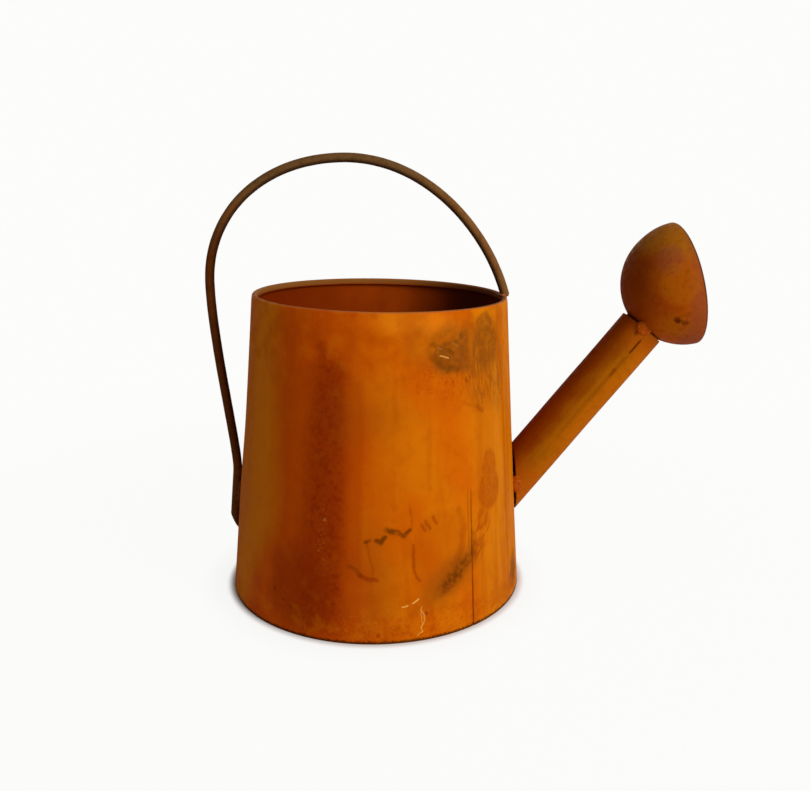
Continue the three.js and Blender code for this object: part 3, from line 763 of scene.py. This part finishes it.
# Handle. One round rod bent cold into a tall uneven loop: its right end is cut square and stands on
# the hem, its left foot is cut on a long slant and laid along the wall. Dark brown rust, clear coated.
ROD_RADIUS = 1.8 * MM
CROWN_LEVEL = 50.6 * MM
CROWN_OFFSET = -10.6 * MM
BOW_LEVEL = 3.6 * MM
BOW_REACH = 16.2 * MM
RIGHT_FULLNESS = 0.5
LEFT_FULLNESS = 0.58
END_INSET = 0.5 * MM
END_STRAIGHT = 1.4 * MM
END_LEAN = math.radians(17.2)
LEG_EASE = 24.7 * MM
FOOT_EASE = 9 * MM
FOOT_TOP = 45 * MM
FOOT_HEEL = 27 * MM
FOOT_TIP = 20.5 * MM
FOOT_STANDOFF = 0.15 * MM
ROD_SIDES = 28
ROD_STEP = 1.1 * MM
ROD_WEAR = 0.02
ROD_BROWN = tone("#744620")
ROD_DARK = tone("#2c1006")
ROD_MAROON = tone("#582808")
ROD_OLIVE = tone("#644a2a")
ROD_ORANGE = tone("#7c522a")
LOOP_MIDDLE = (-14, 0, 128)


def bend(a, b, c, d, steps=400):
    """A smooth bend from a to d that leaves towards b and arrives from c."""
    t = np.linspace(0, 1, steps)[:, None]
    return a * (1 - t) ** 3 + 3 * b * t * (1 - t) ** 2 + 3 * c * t * t * (1 - t) + d * t ** 3


def even_steps(points, step):
    """The same path with points at even distances."""
    reach = np.concatenate([[0], np.cumsum(np.linalg.norm(np.diff(points, axis=0), axis=1))])
    wanted = np.linspace(0, reach[-1], int(reach[-1] / step) + 1)
    return np.stack([np.interp(wanted, reach, points[:, i]) for i in range(3)], axis=-1)


rim_z = WALL_HEIGHT * math.cos(WALL_LEAN)
rod_outside = ROD_RADIUS + FOOT_STANDOFF
handle_end = wall_point(0, WALL_HEIGHT, -END_INSET)
crown = np.array([CROWN_OFFSET, 0, rim_z + CROWN_LEVEL])
bow = np.array([wall_point(math.pi, WALL_HEIGHT, BOW_REACH)[0], 0, rim_z + BOW_LEVEL])
foot_top = wall_point(math.pi, FOOT_TOP, rod_outside)
foot_up = foot_top - wall_point(math.pi, FOOT_TIP, rod_outside)
foot_up /= np.linalg.norm(foot_up)
end_up = np.array([-math.sin(END_LEAN), 0, math.cos(END_LEAN)])
first_bend = handle_end + END_STRAIGHT * end_up
to_side, to_top = np.array([1, 0, 0]), np.array([0, 0, 1])


def rod_rings():
    path = np.vstack([
        bend(first_bend, first_bend + RIGHT_FULLNESS * (crown[2] - first_bend[2]) * end_up,
             crown + RIGHT_FULLNESS * (first_bend[0] - crown[0]) * to_side, crown),
        bend(crown, crown + LEFT_FULLNESS * (bow[0] - crown[0]) * to_side,
             bow + LEFT_FULLNESS * (crown[2] - bow[2]) * to_top, bow)[1:],
        bend(bow, bow - LEG_EASE * to_top, foot_top + FOOT_EASE * foot_up, foot_top)[1:],
    ])
    path = even_steps(path, ROD_STEP)
    ahead = np.gradient(path, axis=0)
    ahead /= np.linalg.norm(ahead, axis=1)[:, None]
    outward = np.stack([ahead[:, 2], -ahead[:, 1], -ahead[:, 0]], axis=-1)
    turns = full_turn(ROD_SIDES)
    steps = np.arange(len(path))[:, None]
    ripples = np.sin(0.31 * steps + turns) + np.sin(0.83 * steps + 2 * turns + 1)
    wear = 1 - ROD_WEAR * (0.5 + 0.25 * ripples)
    offsets = ROD_RADIUS * wear[..., None] * (
        np.cos(turns)[:, None] * outward[:, None, :] + np.sin(turns)[:, None] * np.array([0, 1, 0])
    )
    body = path[:, None, :] + offsets
    # The right end runs straight down to a level cut, the left foot to a slanted one
    cut_level = handle_end[2] + GAP
    drop = (body[0][:, 2] - cut_level) / end_up[2]
    stand = [body[0] - np.outer(drop, end_up) * share for share in (1, 0.97, 0.6, 0.3)]
    outer_share = 0.5 + 0.5 * (body[-1] - foot_top) @ outward[-1] / ROD_RADIUS
    cut_height = FOOT_TIP + (FOOT_HEEL - FOOT_TIP) * outer_share
    fall = (FOOT_TOP - cut_height) / math.cos(math.atan2(BASE_RADIUS - RIM_RADIUS, WALL_HEIGHT))
    foot = [body[-1] - np.outer(fall, foot_up) * share for share in (0.2, 0.4, 0.6, 0.8, 0.9, 0.98, 1)]
    return np.vstack([stand, body, foot])


def rod_finish():
    material, recipe, shader, place = finish("rusted_rod")
    clouds = place.noise(14, detail=4, shift=2)
    mottle = place.noise(2.2, detail=5, shift=4)
    grain = place.noise(0.6)
    x, z = place.axis("X"), place.axis("Z")
    olive = 0.3 * clouds.fade(0.38, 0.62) | 0.7 * z.fade(142, 162)
    colour = recipe.laid(olive, ROD_BROWN, ROD_OLIVE)
    colour = colour.covered(0.7 * x.fade(5, 40), ROD_ORANGE)
    colour = colour.covered(0.95 * x.fade(-20, -50) * z.fade(156, 130), ROD_MAROON)
    colour = colour.covered(0.35 * z.fade(60, 45), ROD_BROWN)
    colour = colour.covered(0.25 * mottle.fade(0.48, 0.66), ROD_DARK)
    # Painted shade: the side of the rod that faces the middle of the loop is darkened
    to_middle = recipe.vector("NORMALIZE", recipe.vector("SUBTRACT", LOOP_MIDDLE, place))
    facing = recipe.node("ShaderNodeTexCoord", output="Normal")
    inner_shade = facing.measure("DOT_PRODUCT", to_middle)
    colour = colour.covered(0.75 * inner_shade.fade(0, 0.8), ROD_DARK)
    roughness = 0.45 + 0.3 * mottle.fade(0.4, 0.65)
    coat(recipe, shader, colour, roughness, mottle + 0.6 * grain, 0.16 * MM, sheen=0.04)
    return material


handle = skin("bent_rod_handle", rod_rings(), poles=True)
handle.data.materials.append(rod_finish())
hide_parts("handle")
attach(handle, "root")

# Handle welds. A blob of weld metal runs round the rod's right end and into the hem, and a fillet
# lies on each side of the slanted foot. They are uneven drops with set ripples.
RIM_WELD_SIZE = (2.2 * MM, 2.5 * MM, 1.1 * MM)
FOOT_WELD_SIZE = (1.2 * MM, 1 * MM, 6 * MM)
RIM_WELD_LIGHT = tone("#a0623c")
RIM_WELD_BROWN = tone("#5e2c10")
FOOT_WELD_LIGHT = tone("#6e3410")
FOOT_WELD_BROWN = tone("#481c08")
DROP_ROWS = 26
DROP_COLUMNS = 44
DROP_UNEVEN = 0.09
DROP_RIPPLE = 0.05


def drop(name, size, direction, place, ripples, seed):
    """An uneven drop of weld metal: half sizes, the third along a direction, with ripples across it."""
    slope = (np.arange(DROP_ROWS) + 0.5) / DROP_ROWS * math.pi
    turns = full_turn(DROP_COLUMNS)
    unit = spun(np.sin(slope)[:, None], turns, np.cos(slope)[:, None])
    phases = np.random.default_rng(seed).uniform(0, 2 * math.pi, (5, 3))
    lumps = sum(np.sin(unit @ np.array([2.1, 1.7, 2.6]) * (k + 1) + phases[k, 0])
                * np.sin(unit @ np.array([-1.3, 2.9, 1.1]) * (k + 1) + phases[k, 1]) / (k + 1.5)
                for k in range(5))
    ridges = np.abs(np.sin(unit[..., 2] * ripples + 0.6 * unit[..., 0] + phases[0, 2]))
    scale = 1 - DROP_UNEVEN * (0.5 + 0.5 * lumps) - DROP_RIPPLE * (1 - ridges)
    turn = np.array(Vector((0, 0, 1)).rotation_difference(Vector(direction)).to_matrix())
    points = (unit * scale[..., None] * np.array(size)) @ turn.T + place
    return skin(name, points, poles=True)


dark_weld_look = weld_finish("rusted_dark_weld", FOOT_WELD_LIGHT, FOOT_WELD_BROWN)
light_weld_look = weld_finish("rusted_weld", WELD_ORANGE)
rim_weld = drop("rim_weld", RIM_WELD_SIZE, (0, 0, 1), handle_end - 0.6 * MM * to_side, 5, seed=3)
rim_weld.data.materials.append(weld_finish("rusted_rim_weld", RIM_WELD_LIGHT, RIM_WELD_BROWN))
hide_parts("handle_rim_weld")
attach(rim_weld, "root")

for side, sign in (("front", -1), ("back", 1)):
    middle = wall_point(math.pi, (FOOT_TOP + FOOT_HEEL) / 2, GAP)
    middle[1] = sign * ROD_RADIUS
    fillet = drop(f"foot_fillet_{side}", FOOT_WELD_SIZE, foot_up, middle, 22, seed=5 + sign)
    fillet.data.materials.append(dark_weld_look)
    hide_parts(f"handle_foot_weld_{side}")
    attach(fillet, "root")

# Spout. One sheet rolled into a straight, slightly narrowing tube with its butt seam on the near
# side, cut square at the top and flat at the foot, so that a slit stays open beside the round wall.
SPOUT_ROOT_RADIUS = 9.27 * MM
SPOUT_TOP_RADIUS = 9.12 * MM
SPOUT_LENGTH = 79.15 * MM
SPOUT_COLUMNS = 128
SPOUT_ROWS = 70
SPOUT_SEAM_DEPTH = 0.35 * MM
SPOUT_SEAM_WIDTH = 0.24 * MM
SPOUT_STEP = 0.05 * MM
SPOUT_EDGE = 0.12 * MM
SPOUT_MAROON = tone("#7c2c02")
SPOUT_HEAT = tone("#b0480a")
SPOUT_STAIN = tone("#4c2004")
SPOUT_OCHRE = tone("#985404")
SPOUT_ORANGE = tone("#b25c04")
spout_below = np.array([math.sin(SPOUT_ANGLE), 0, -math.cos(SPOUT_ANGLE)])
spout_near = np.array([0, -1, 0])


def spout_radius(reach):
    return SPOUT_ROOT_RADIUS + (SPOUT_TOP_RADIUS - SPOUT_ROOT_RADIUS) * reach / SPOUT_LENGTH


def spout_grid():
    turns = np.linspace(-math.pi, math.pi, SPOUT_COLUMNS, endpoint=False)
    fine = np.array([-0.6, -0.4, -0.25, -0.12, 0, 0.12, 0.25, 0.4, 0.6]) * MM / SPOUT_ROOT_RADIUS
    turns = np.sort(np.concatenate([turns[np.abs(turns) > 0.08], fine]))
    outward = np.outer(np.cos(turns), spout_near) + np.outer(np.sin(turns), spout_below)
    low, high = wall_point(0, 0, GAP), wall_point(0, WALL_HEIGHT, GAP)
    cut_up = (high - low) / np.linalg.norm(high - low)
    cut_out = np.array([cut_up[2], 0, -cut_up[0]])

    def line(inset, start_gap, end_gap, shares):
        side = SPOUT_ROOT_RADIUS - inset
        start = ((low - spout_root - side * outward) @ cut_out) / (spout_up @ cut_out) + start_gap
        reach = start + (SPOUT_LENGTH - end_gap - start) * shares[:, None]
        radius = spout_radius(reach) - inset
        along = np.clip(reach / MM, 0, None)
        open_part = 0.12 + 0.88 / (1 + np.exp(-(along - 68) / 0.6)) / (1 + np.exp((along - 75) / 0.5))
        notch = SPOUT_SEAM_DEPTH * open_part * np.exp(-(turns * SPOUT_ROOT_RADIUS / SPOUT_SEAM_WIDTH) ** 2)
        step = SPOUT_STEP * np.tanh(turns / 0.02) * np.exp(-(turns / 0.35) ** 2)
        uneven = SPOUT_STEP * (1 + np.sin(0.11 * along + 3 * turns)) * np.sin(math.pi * shares)[:, None]
        radius = radius - uneven - (notch - step + SPOUT_STEP if inset < SHEET / 2 else 0)
        return spout_root + reach[..., None] * spout_up + radius[..., None] * outward

    shares = np.linspace(0, 1, SPOUT_ROWS)
    rows = [
        line(SPOUT_EDGE, 0, 0, shares[:1]),
        line(0, SPOUT_EDGE, SPOUT_EDGE, shares),
        line(SPOUT_EDGE, 0, 0, shares[-1:]),
        line(SHEET - SPOUT_EDGE, 0, 0, shares[-1:]),
        line(SHEET, SPOUT_EDGE, SPOUT_EDGE, shares[::-2]),
        line(SHEET - SPOUT_EDGE, 0, 0, shares[:1]),
    ]
    return np.vstack(rows)


def spout_finish():
    material, recipe, shader, place = finish("rusted_spout")
    root = Vector(spout_root / MM)
    from_root = recipe.vector("SUBTRACT", place, root)
    reach = from_root.measure("DOT_PRODUCT", Vector(spout_up))
    below = from_root.measure("DOT_PRODUCT", Vector(spout_below))
    near = place.axis("Y") * -1
    turn = recipe.maths("ARCTAN2", below, near) * (SPOUT_ROOT_RADIUS / MM)
    tube = recipe.node("ShaderNodeCombineXYZ", {0: turn, 1: reach})
    around = recipe.node("ShaderNodeCombineXYZ", {0: below, 1: reach, 2: near})
    clouds = place.noise(11, detail=4, shift=6)
    streaks = around.noise(2.2, stretch=(1, 0.07, 1))
    mottle = place.noise(2.6, detail=5, shift=1)
    grain = place.noise(0.7)
    edge = below + 8 * (clouds - 0.5) + 6 * (streaks - 0.5)
    colour = recipe.laid(edge.fade(-3, 7), SPOUT_OCHRE, SPOUT_ORANGE)
    colour = colour.covered(0.85 * edge.fade(-0.5, -7.8), SPOUT_MAROON)
    colour = colour.covered(0.22 * mottle.fade(0.48, 0.72), SPOUT_MAROON)
    from_top = tube.measure("DISTANCE", (0, 78, 0))
    from_foot = tube.measure("DISTANCE", (0, 1, 0))
    heated = from_top.fade(13, 3) | from_foot.fade(13, 3)
    colour = colour.covered(0.4 * heated, SPOUT_HEAT)
    off_seam = abs(turn)
    slit = off_seam.fade(0.7, 0.1) * reach.fade(67, 69) * reach.fade(75.5, 74)
    stain = off_seam.fade(1.5, 0.2) * streaks.fade(0.35, 0.6)
    stain = stain * reach.fade(22, 36) * reach.fade(75.5, 66)
    blot = off_seam.fade(1.3, 0.3) * abs(reach - 58.5).fade(3, 1.2)
    pit = tube.measure("DISTANCE", (-3.2, 75.8, 0)).fade(1.3, 0.5)
    colour = colour.covered(0.75 * slit | 0.25 * stain | 0.5 * blot | 0.6 * pit, SPOUT_STAIN)
    roughness = 0.48 + 0.25 * mottle.fade(0.4, 0.65)
    coat(recipe, shader, colour, roughness, 0.9 * mottle + 0.6 * grain, 0.12 * MM)
    return material


spout = skin("rolled_spout", spout_grid())
spout.data.materials.append(spout_finish())
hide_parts("spout")
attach(spout, "root")

# Spout tacks. One short weld on each side bridges the slit between the tube's flat cut and the
# round wall; above and below it the slit is left open.
ROOT_WELD_SIZE = (2.3 * MM, 1.5 * MM, 3.9 * MM)
wall_up = wall_point(0, WALL_HEIGHT, GAP) - wall_point(0, 0, GAP)
for side, sign in (("front", -1), ("back", 1)):
    middle = wall_point(0, SPOUT_ROOT_HEIGHT, GAP)
    middle[1] = sign * SPOUT_ROOT_RADIUS
    tack = drop(f"spout_tack_{side}", ROOT_WELD_SIZE, wall_up, middle, 7, seed=11 + sign)
    tack.data.materials.append(light_weld_look)
    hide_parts(f"spout_root_weld_{side}")
    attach(tack, "root")

# Rose bowl. A disc of sheet pressed into a half ball, with a water hole cut where it meets the
# spout and its lip turned inwards over the face plate. Brown rust with one lighter patch.
ROSE_RADIUS = 24.1 * MM
ROSE_DEPTH = 24.35 * MM
ROSE_TILT = math.radians(12.75)
ROSE_OFFSET = 1.2 * MM
LIP_RADIUS = 0.9 * MM
LIP_WIDTH = 3 * MM
ROSE_COLUMNS = 144
ROSE_WAVE = 0.08 * MM
ROSE_BROWN = tone("#a84e06")
ROSE_RUST = tone("#a04406")
ROSE_DARK = tone("#743004")
ROSE_PIT = tone("#4a1402")
ROSE_EDGE = tone("#30140a")
ROSE_ORANGE = tone("#ac6008")
ROSE_PLUM = tone("#86422a")
ROSE_OLIVE = tone("#a46814")
rose_standoff = math.sqrt((ROSE_RADIUS + GAP) ** 2 - (SPOUT_TOP_RADIUS - SHEET - ROSE_OFFSET) ** 2)
rose_centre = spout_root + (SPOUT_LENGTH + rose_standoff) * spout_up + ROSE_OFFSET * spout_below
rose_normal = np.array([math.cos(ROSE_TILT), 0, math.sin(ROSE_TILT)])
mouth = ROSE_DEPTH - ROSE_RADIUS
lip_height = mouth - LIP_RADIUS
lip_centre = math.sqrt((ROSE_RADIUS - LIP_RADIUS) ** 2 - lip_height ** 2)


def about_rose(profile, wave):
    """Turns a profile of radius and height about the rose's axis."""
    turns = full_turn(ROSE_COLUMNS)
    across = np.array([rose_normal[2], 0, -rose_normal[0]])
    outward = np.outer(np.cos(turns), across) + np.outer(np.sin(turns), (0, 1, 0))
    radius = profile[:, :1] - wave * (1 + np.sin(2 * turns + 9 * profile[:, 1:] / ROSE_RADIUS + 0.4)) \
        * np.clip(profile[:, :1] / ROSE_RADIUS, 0, 1)
    return rose_centre + radius[..., None] * outward + profile[:, 1, None, None] * rose_normal


def bowl_profile():
    lip_turn = math.degrees(math.atan2(lip_height, lip_centre))
    return np.vstack([
        arc(0, 0, ROSE_RADIUS, -89, lip_turn, 44),
        arc(lip_centre, lip_height, LIP_RADIUS, lip_turn, 90, 8)[1:],
        [(ROSE_RADIUS - LIP_WIDTH, mouth), (ROSE_RADIUS - LIP_WIDTH, mouth - SHEET)],
        arc(lip_centre, lip_height, LIP_RADIUS - SHEET, 90, lip_turn, 4),
        arc(0, 0, ROSE_RADIUS - SHEET, lip_turn, -89, 30)[1:],
    ])


def rose_patch(place, centre, half_size, softness):
    """A soft round spot about a point in millimetres on the bowl."""
    return place.measure("DISTANCE", centre).fade(half_size * (1 + softness), half_size * (1 - softness))


def rose_finish():
    material, recipe, shader, place = finish("rusted_rose")
    loose = shaken(place, place, 1 / 0.12, (6, 6, 6), 4)
    bumpy = shaken(place, place, 1 / 0.6, (4, 4, 4), 3)
    clouds = place.noise(12, detail=4, shift=8)
    mottle = place.noise(2.4, detail=5, shift=3)
    grain = place.noise(0.6)
    middle = Vector(rose_centre / MM)
    across = loose.axis("X") - middle.x
    colour = recipe.laid(clouds.fade(0.38, 0.62), ROSE_BROWN, ROSE_RUST)
    colour = colour.covered(0.78 * across.fade(-12.5, -23), ROSE_DARK)
    high = (loose.axis("Z") - middle.z).fade(8, 18)
    colour = colour.covered(0.65 * high, ROSE_OLIVE)
    plum = across.fade(-7.5, -2) | rose_patch(loose, (108, -19, 133), 6, 0.4)
    colour = colour.covered(0.5 * plum, ROSE_PLUM)
    lighter_patch = rose_patch(loose, (111.8, -22.1, 123.3), 7.4, 0.16)
    colour = colour.covered(0.34 * lighter_patch, ROSE_ORANGE)
    low_light = rose_patch(loose, (112, -17, 107), 6, 0.5)
    colour = colour.covered(0.35 * low_light, ROSE_ORANGE)
    dark_pit = rose_patch(bumpy, (113, -19.4, 108.8), 1.5, 0.5)
    dark_pit = dark_pit | 0.8 * rose_patch(bumpy, (115.8, -19, 108.8), 1.3, 0.6)
    colour = colour.covered(0.85 * dark_pit, ROSE_PIT)
    colour = colour.covered(0.3 * mottle.fade(0.5, 0.68), ROSE_DARK)
    from_middle = recipe.vector("SUBTRACT", place, middle)
    along = from_middle.measure("DOT_PRODUCT", Vector(rose_normal))
    rim = along.fade(mouth / MM - 1.1, mouth / MM - 0.4)
    colour = colour.covered(0.8 * rim, ROSE_EDGE)
    roughness = 0.42 + 0.25 * mottle.fade(0.4, 0.65)
    height = 0.9 * mottle + 0.5 * grain - 0.8 * dark_pit
    coat(recipe, shader, colour, roughness, height, 0.14 * MM)
    return material


rose_look = rose_finish()
rose = skin("pressed_rose", about_rose(bowl_profile(), ROSE_WAVE), poles=True)
bored(rose, spout_up, spout_root + SPOUT_LENGTH * spout_up - SPOUT_ROOT_RADIUS * spout_up,
      WATER_HOLE_RADIUS, SPOUT_ROOT_RADIUS + rose_standoff)
rose.data.materials.append(rose_look)
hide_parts("rose_bowl")
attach(rose, "root")

# Rose face. A flat disc of the same sheet, punched with rings of small holes and held in the bowl
# by its turned lip.
FACE_HOLE_RADIUS = 1 * MM
FACE_RING_PITCH = 5.6 * MM
FACE_RINGS = 3
FACE_SIDES = 144
HOLE_SIDES = 20


def perforation_tree():
    """A disc with one hole in the middle and rings of holes about it, given its thickness."""
    tree, recipe, (_, plate, hole, pitch, thick, place, turn, look) = node_tree(
        "rose_perforations", "Face", Blank="Geometry", Plate_Radius="Float", Hole_Radius="Float",
        Ring_Pitch="Float", Thickness="Float", Place="Vector", Turn="Vector", Finish="Material",
    )

    def circle(count, radius):
        return recipe.node("GeometryNodeCurvePrimitiveCircle", {"Resolution": count, "Radius": radius})

    punch = circle(HOLE_SIDES, hole)
    outlines = recipe.node("GeometryNodeJoinGeometry", {0: circle(FACE_SIDES, plate)})
    joined = outlines.socket.node.inputs[0]
    tree.links.new(punch.socket, joined)
    for ring in range(1, FACE_RINGS + 1):
        round_middle = {"Curve": circle(6 * ring, pitch * ring)}
        places = recipe.node("GeometryNodeCurveToPoints", round_middle, {"mode": "EVALUATED"})
        holes = recipe.node("GeometryNodeInstanceOnPoints", {"Points": places, "Instance": punch})
        tree.links.new(holes.socket, joined)
    real = recipe.node("GeometryNodeRealizeInstances", {0: outlines})
    flat = recipe.node("GeometryNodeFillCurve", {"Curve": real}, {"mode": "TRIANGLES"})
    lift = {"Mesh": flat, "Offset Scale": thick, "Individual": False}
    raised = recipe.node("GeometryNodeExtrudeMesh", lift, {"mode": "FACES"})
    under = recipe.node("GeometryNodeFlipFaces", {0: flat})
    both = recipe.node("GeometryNodeJoinGeometry", {0: raised})
    tree.links.new(under.socket, both.socket.node.inputs[0])
    sealed = recipe.node("GeometryNodeMergeByDistance", {"Geometry": both, "Distance": 1e-6})
    stance = {"Geometry": sealed, "Translation": place, "Rotation": turn}
    set_in = recipe.node("GeometryNodeTransform", stance)
    painted = recipe.node("GeometryNodeSetMaterial", {"Geometry": set_in, "Material": look})
    tree.links.new(painted.socket, tree.nodes.new("NodeGroupOutput").inputs[0])
    return tree


face_back = rose_centre + (mouth - 2 * SHEET - GAP) * rose_normal
rose_face = grown(
    path_piece("punched_face", [face_back]), perforation_tree(),
    Plate_Radius=lip_centre, Hole_Radius=FACE_HOLE_RADIUS, Ring_Pitch=FACE_RING_PITCH, Thickness=SHEET,
    Place=tuple(face_back), Turn=(0, math.pi / 2 - ROSE_TILT, 0), Finish=rose_look,
)
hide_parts("rose_face")
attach(rose_face, "root")

# Rose tacks. One weld on each side holds the bowl on the spout's square end; the near one is a
# bright blob with the dark slit open above and below it.
NECK_WELD_SIZE = (2.9 * MM, 1.2 * MM, 3.3 * MM)
NECK_WELD_ANGLE = math.radians(13)
for side, sign in (("front", -1), ("back", 1)):
    middle = spout_root + SPOUT_LENGTH * spout_up - SPOUT_TOP_RADIUS * math.sin(NECK_WELD_ANGLE) * spout_below
    middle[1] = sign * SPOUT_TOP_RADIUS * math.cos(NECK_WELD_ANGLE)
    tack = drop(f"rose_tack_{side}", NECK_WELD_SIZE, spout_below, middle, 6, seed=21 + sign)
    tack.data.materials.append(light_weld_look)
    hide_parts(f"rose_neck_weld_{side}")
    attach(tack, "root")

# Studio. A pale floor that fades to white, one large soft lamp from the right and a weak fill, and
# the camera where the photograph was taken.
CAMERA_PLACE = (0.285 * MM, -333 * MM, 162 * MM)
CAMERA_PITCH = math.radians(14.42)
CAMERA_HEADING = math.radians(2)
IMAGE_WIDTH = 810
FOCAL_PIXELS = 860.37
SENSOR_WIDTH = 36
FLOOR_WHITE = tone("#f4f4f2")
BACKDROP_WHITE = (0.975, 0.975, 0.96, 1)
WORLD_LEVEL = 0.22
LAMP_TARGET = Vector((0.02, 0, 0.07))
FLOOR_REACH = 3


def lamp(name, azimuth, elevation, distance, size, power):
    light = bpy.data.lights.new(name, "AREA")
    light.shape = "DISK"
    light.size = size
    light.energy = power
    made = placed(name, light)
    side, high = math.radians(azimuth), math.radians(elevation)
    toward = Vector((math.cos(side) * math.cos(high), math.sin(side) * math.cos(high), math.sin(high)))
    made.location = LAMP_TARGET + distance * toward
    made.rotation_mode = "QUATERNION"
    made.rotation_quaternion = toward.to_track_quat("Z", "Y")


def white_backdrop():
    world = bpy.data.worlds.new("studio")
    bpy.context.scene.world = world
    world.use_nodes = True
    recipe = Recipe(world.node_tree)
    background = world.node_tree.nodes["Background"]
    path = recipe.node("ShaderNodeLightPath")
    outputs = path.socket.node.outputs
    seen = Amount(recipe, outputs["Is Camera Ray"]) | Amount(recipe, outputs["Is Glossy Ray"])
    seen = seen | Amount(recipe, outputs["Is Transmission Ray"])
    level = WORLD_LEVEL + (1 - WORLD_LEVEL) * seen
    recipe.tree.links.new(level.socket, background.inputs["Strength"])
    background.inputs["Color"].default_value = BACKDROP_WHITE


def floor_finish():
    material = bpy.data.materials.new("pale_floor")
    material.use_nodes = True
    recipe = Recipe(material.node_tree)
    matte = recipe.node("ShaderNodeBsdfDiffuse", {"Color": FLOOR_WHITE})
    glow = recipe.node("ShaderNodeEmission", {"Color": BACKDROP_WHITE})
    path = recipe.node("ShaderNodeLightPath", output="Is Camera Ray")
    reach = recipe.node("ShaderNodeTexCoord", output="Object").measure("LENGTH")
    # The floor glows white as the camera sees it, but for its shadow close to the can
    close = reach.fade(BASE_RADIUS, 1.06 * BASE_RADIUS)
    near = reach.fade(BASE_RADIUS, 75 * MM)
    far = reach.fade(80 * MM, 400 * MM)
    glowing = path * (0.9 * close + 0.08 * near + 0.02 * far)
    mixed = recipe.node("ShaderNodeMixShader", {0: glowing, 1: matte, 2: glow})
    recipe.tree.links.new(mixed.socket, material.node_tree.nodes["Material Output"].inputs["Surface"])
    return material


floor = placed("floor", bpy.data.meshes.new("floor"))
floor_corners = [(x * FLOOR_REACH, y * FLOOR_REACH, 0) for x, y in ((-1, -1), (1, -1), (1, 1), (-1, 1))]
floor.data.from_pydata(floor_corners, [], [(0, 1, 2, 3)])
floor.data.materials.append(floor_finish())
lamp("key", azimuth=-46, elevation=30, distance=0.9, size=0.5, power=6.2)
lamp("fill", azimuth=-120, elevation=20, distance=1, size=0.6, power=0.4)
white_backdrop()

camera = placed("camera", bpy.data.cameras.new("camera"))
camera.data.sensor_width = SENSOR_WIDTH
camera.data.lens = FOCAL_PIXELS / IMAGE_WIDTH * SENSOR_WIDTH
camera.location = CAMERA_PLACE
camera.rotation_euler = (math.pi / 2 - CAMERA_PITCH, 0, -CAMERA_HEADING)
bpy.context.scene.camera = camera
bpy.context.scene.view_settings.view_transform = "Standard"
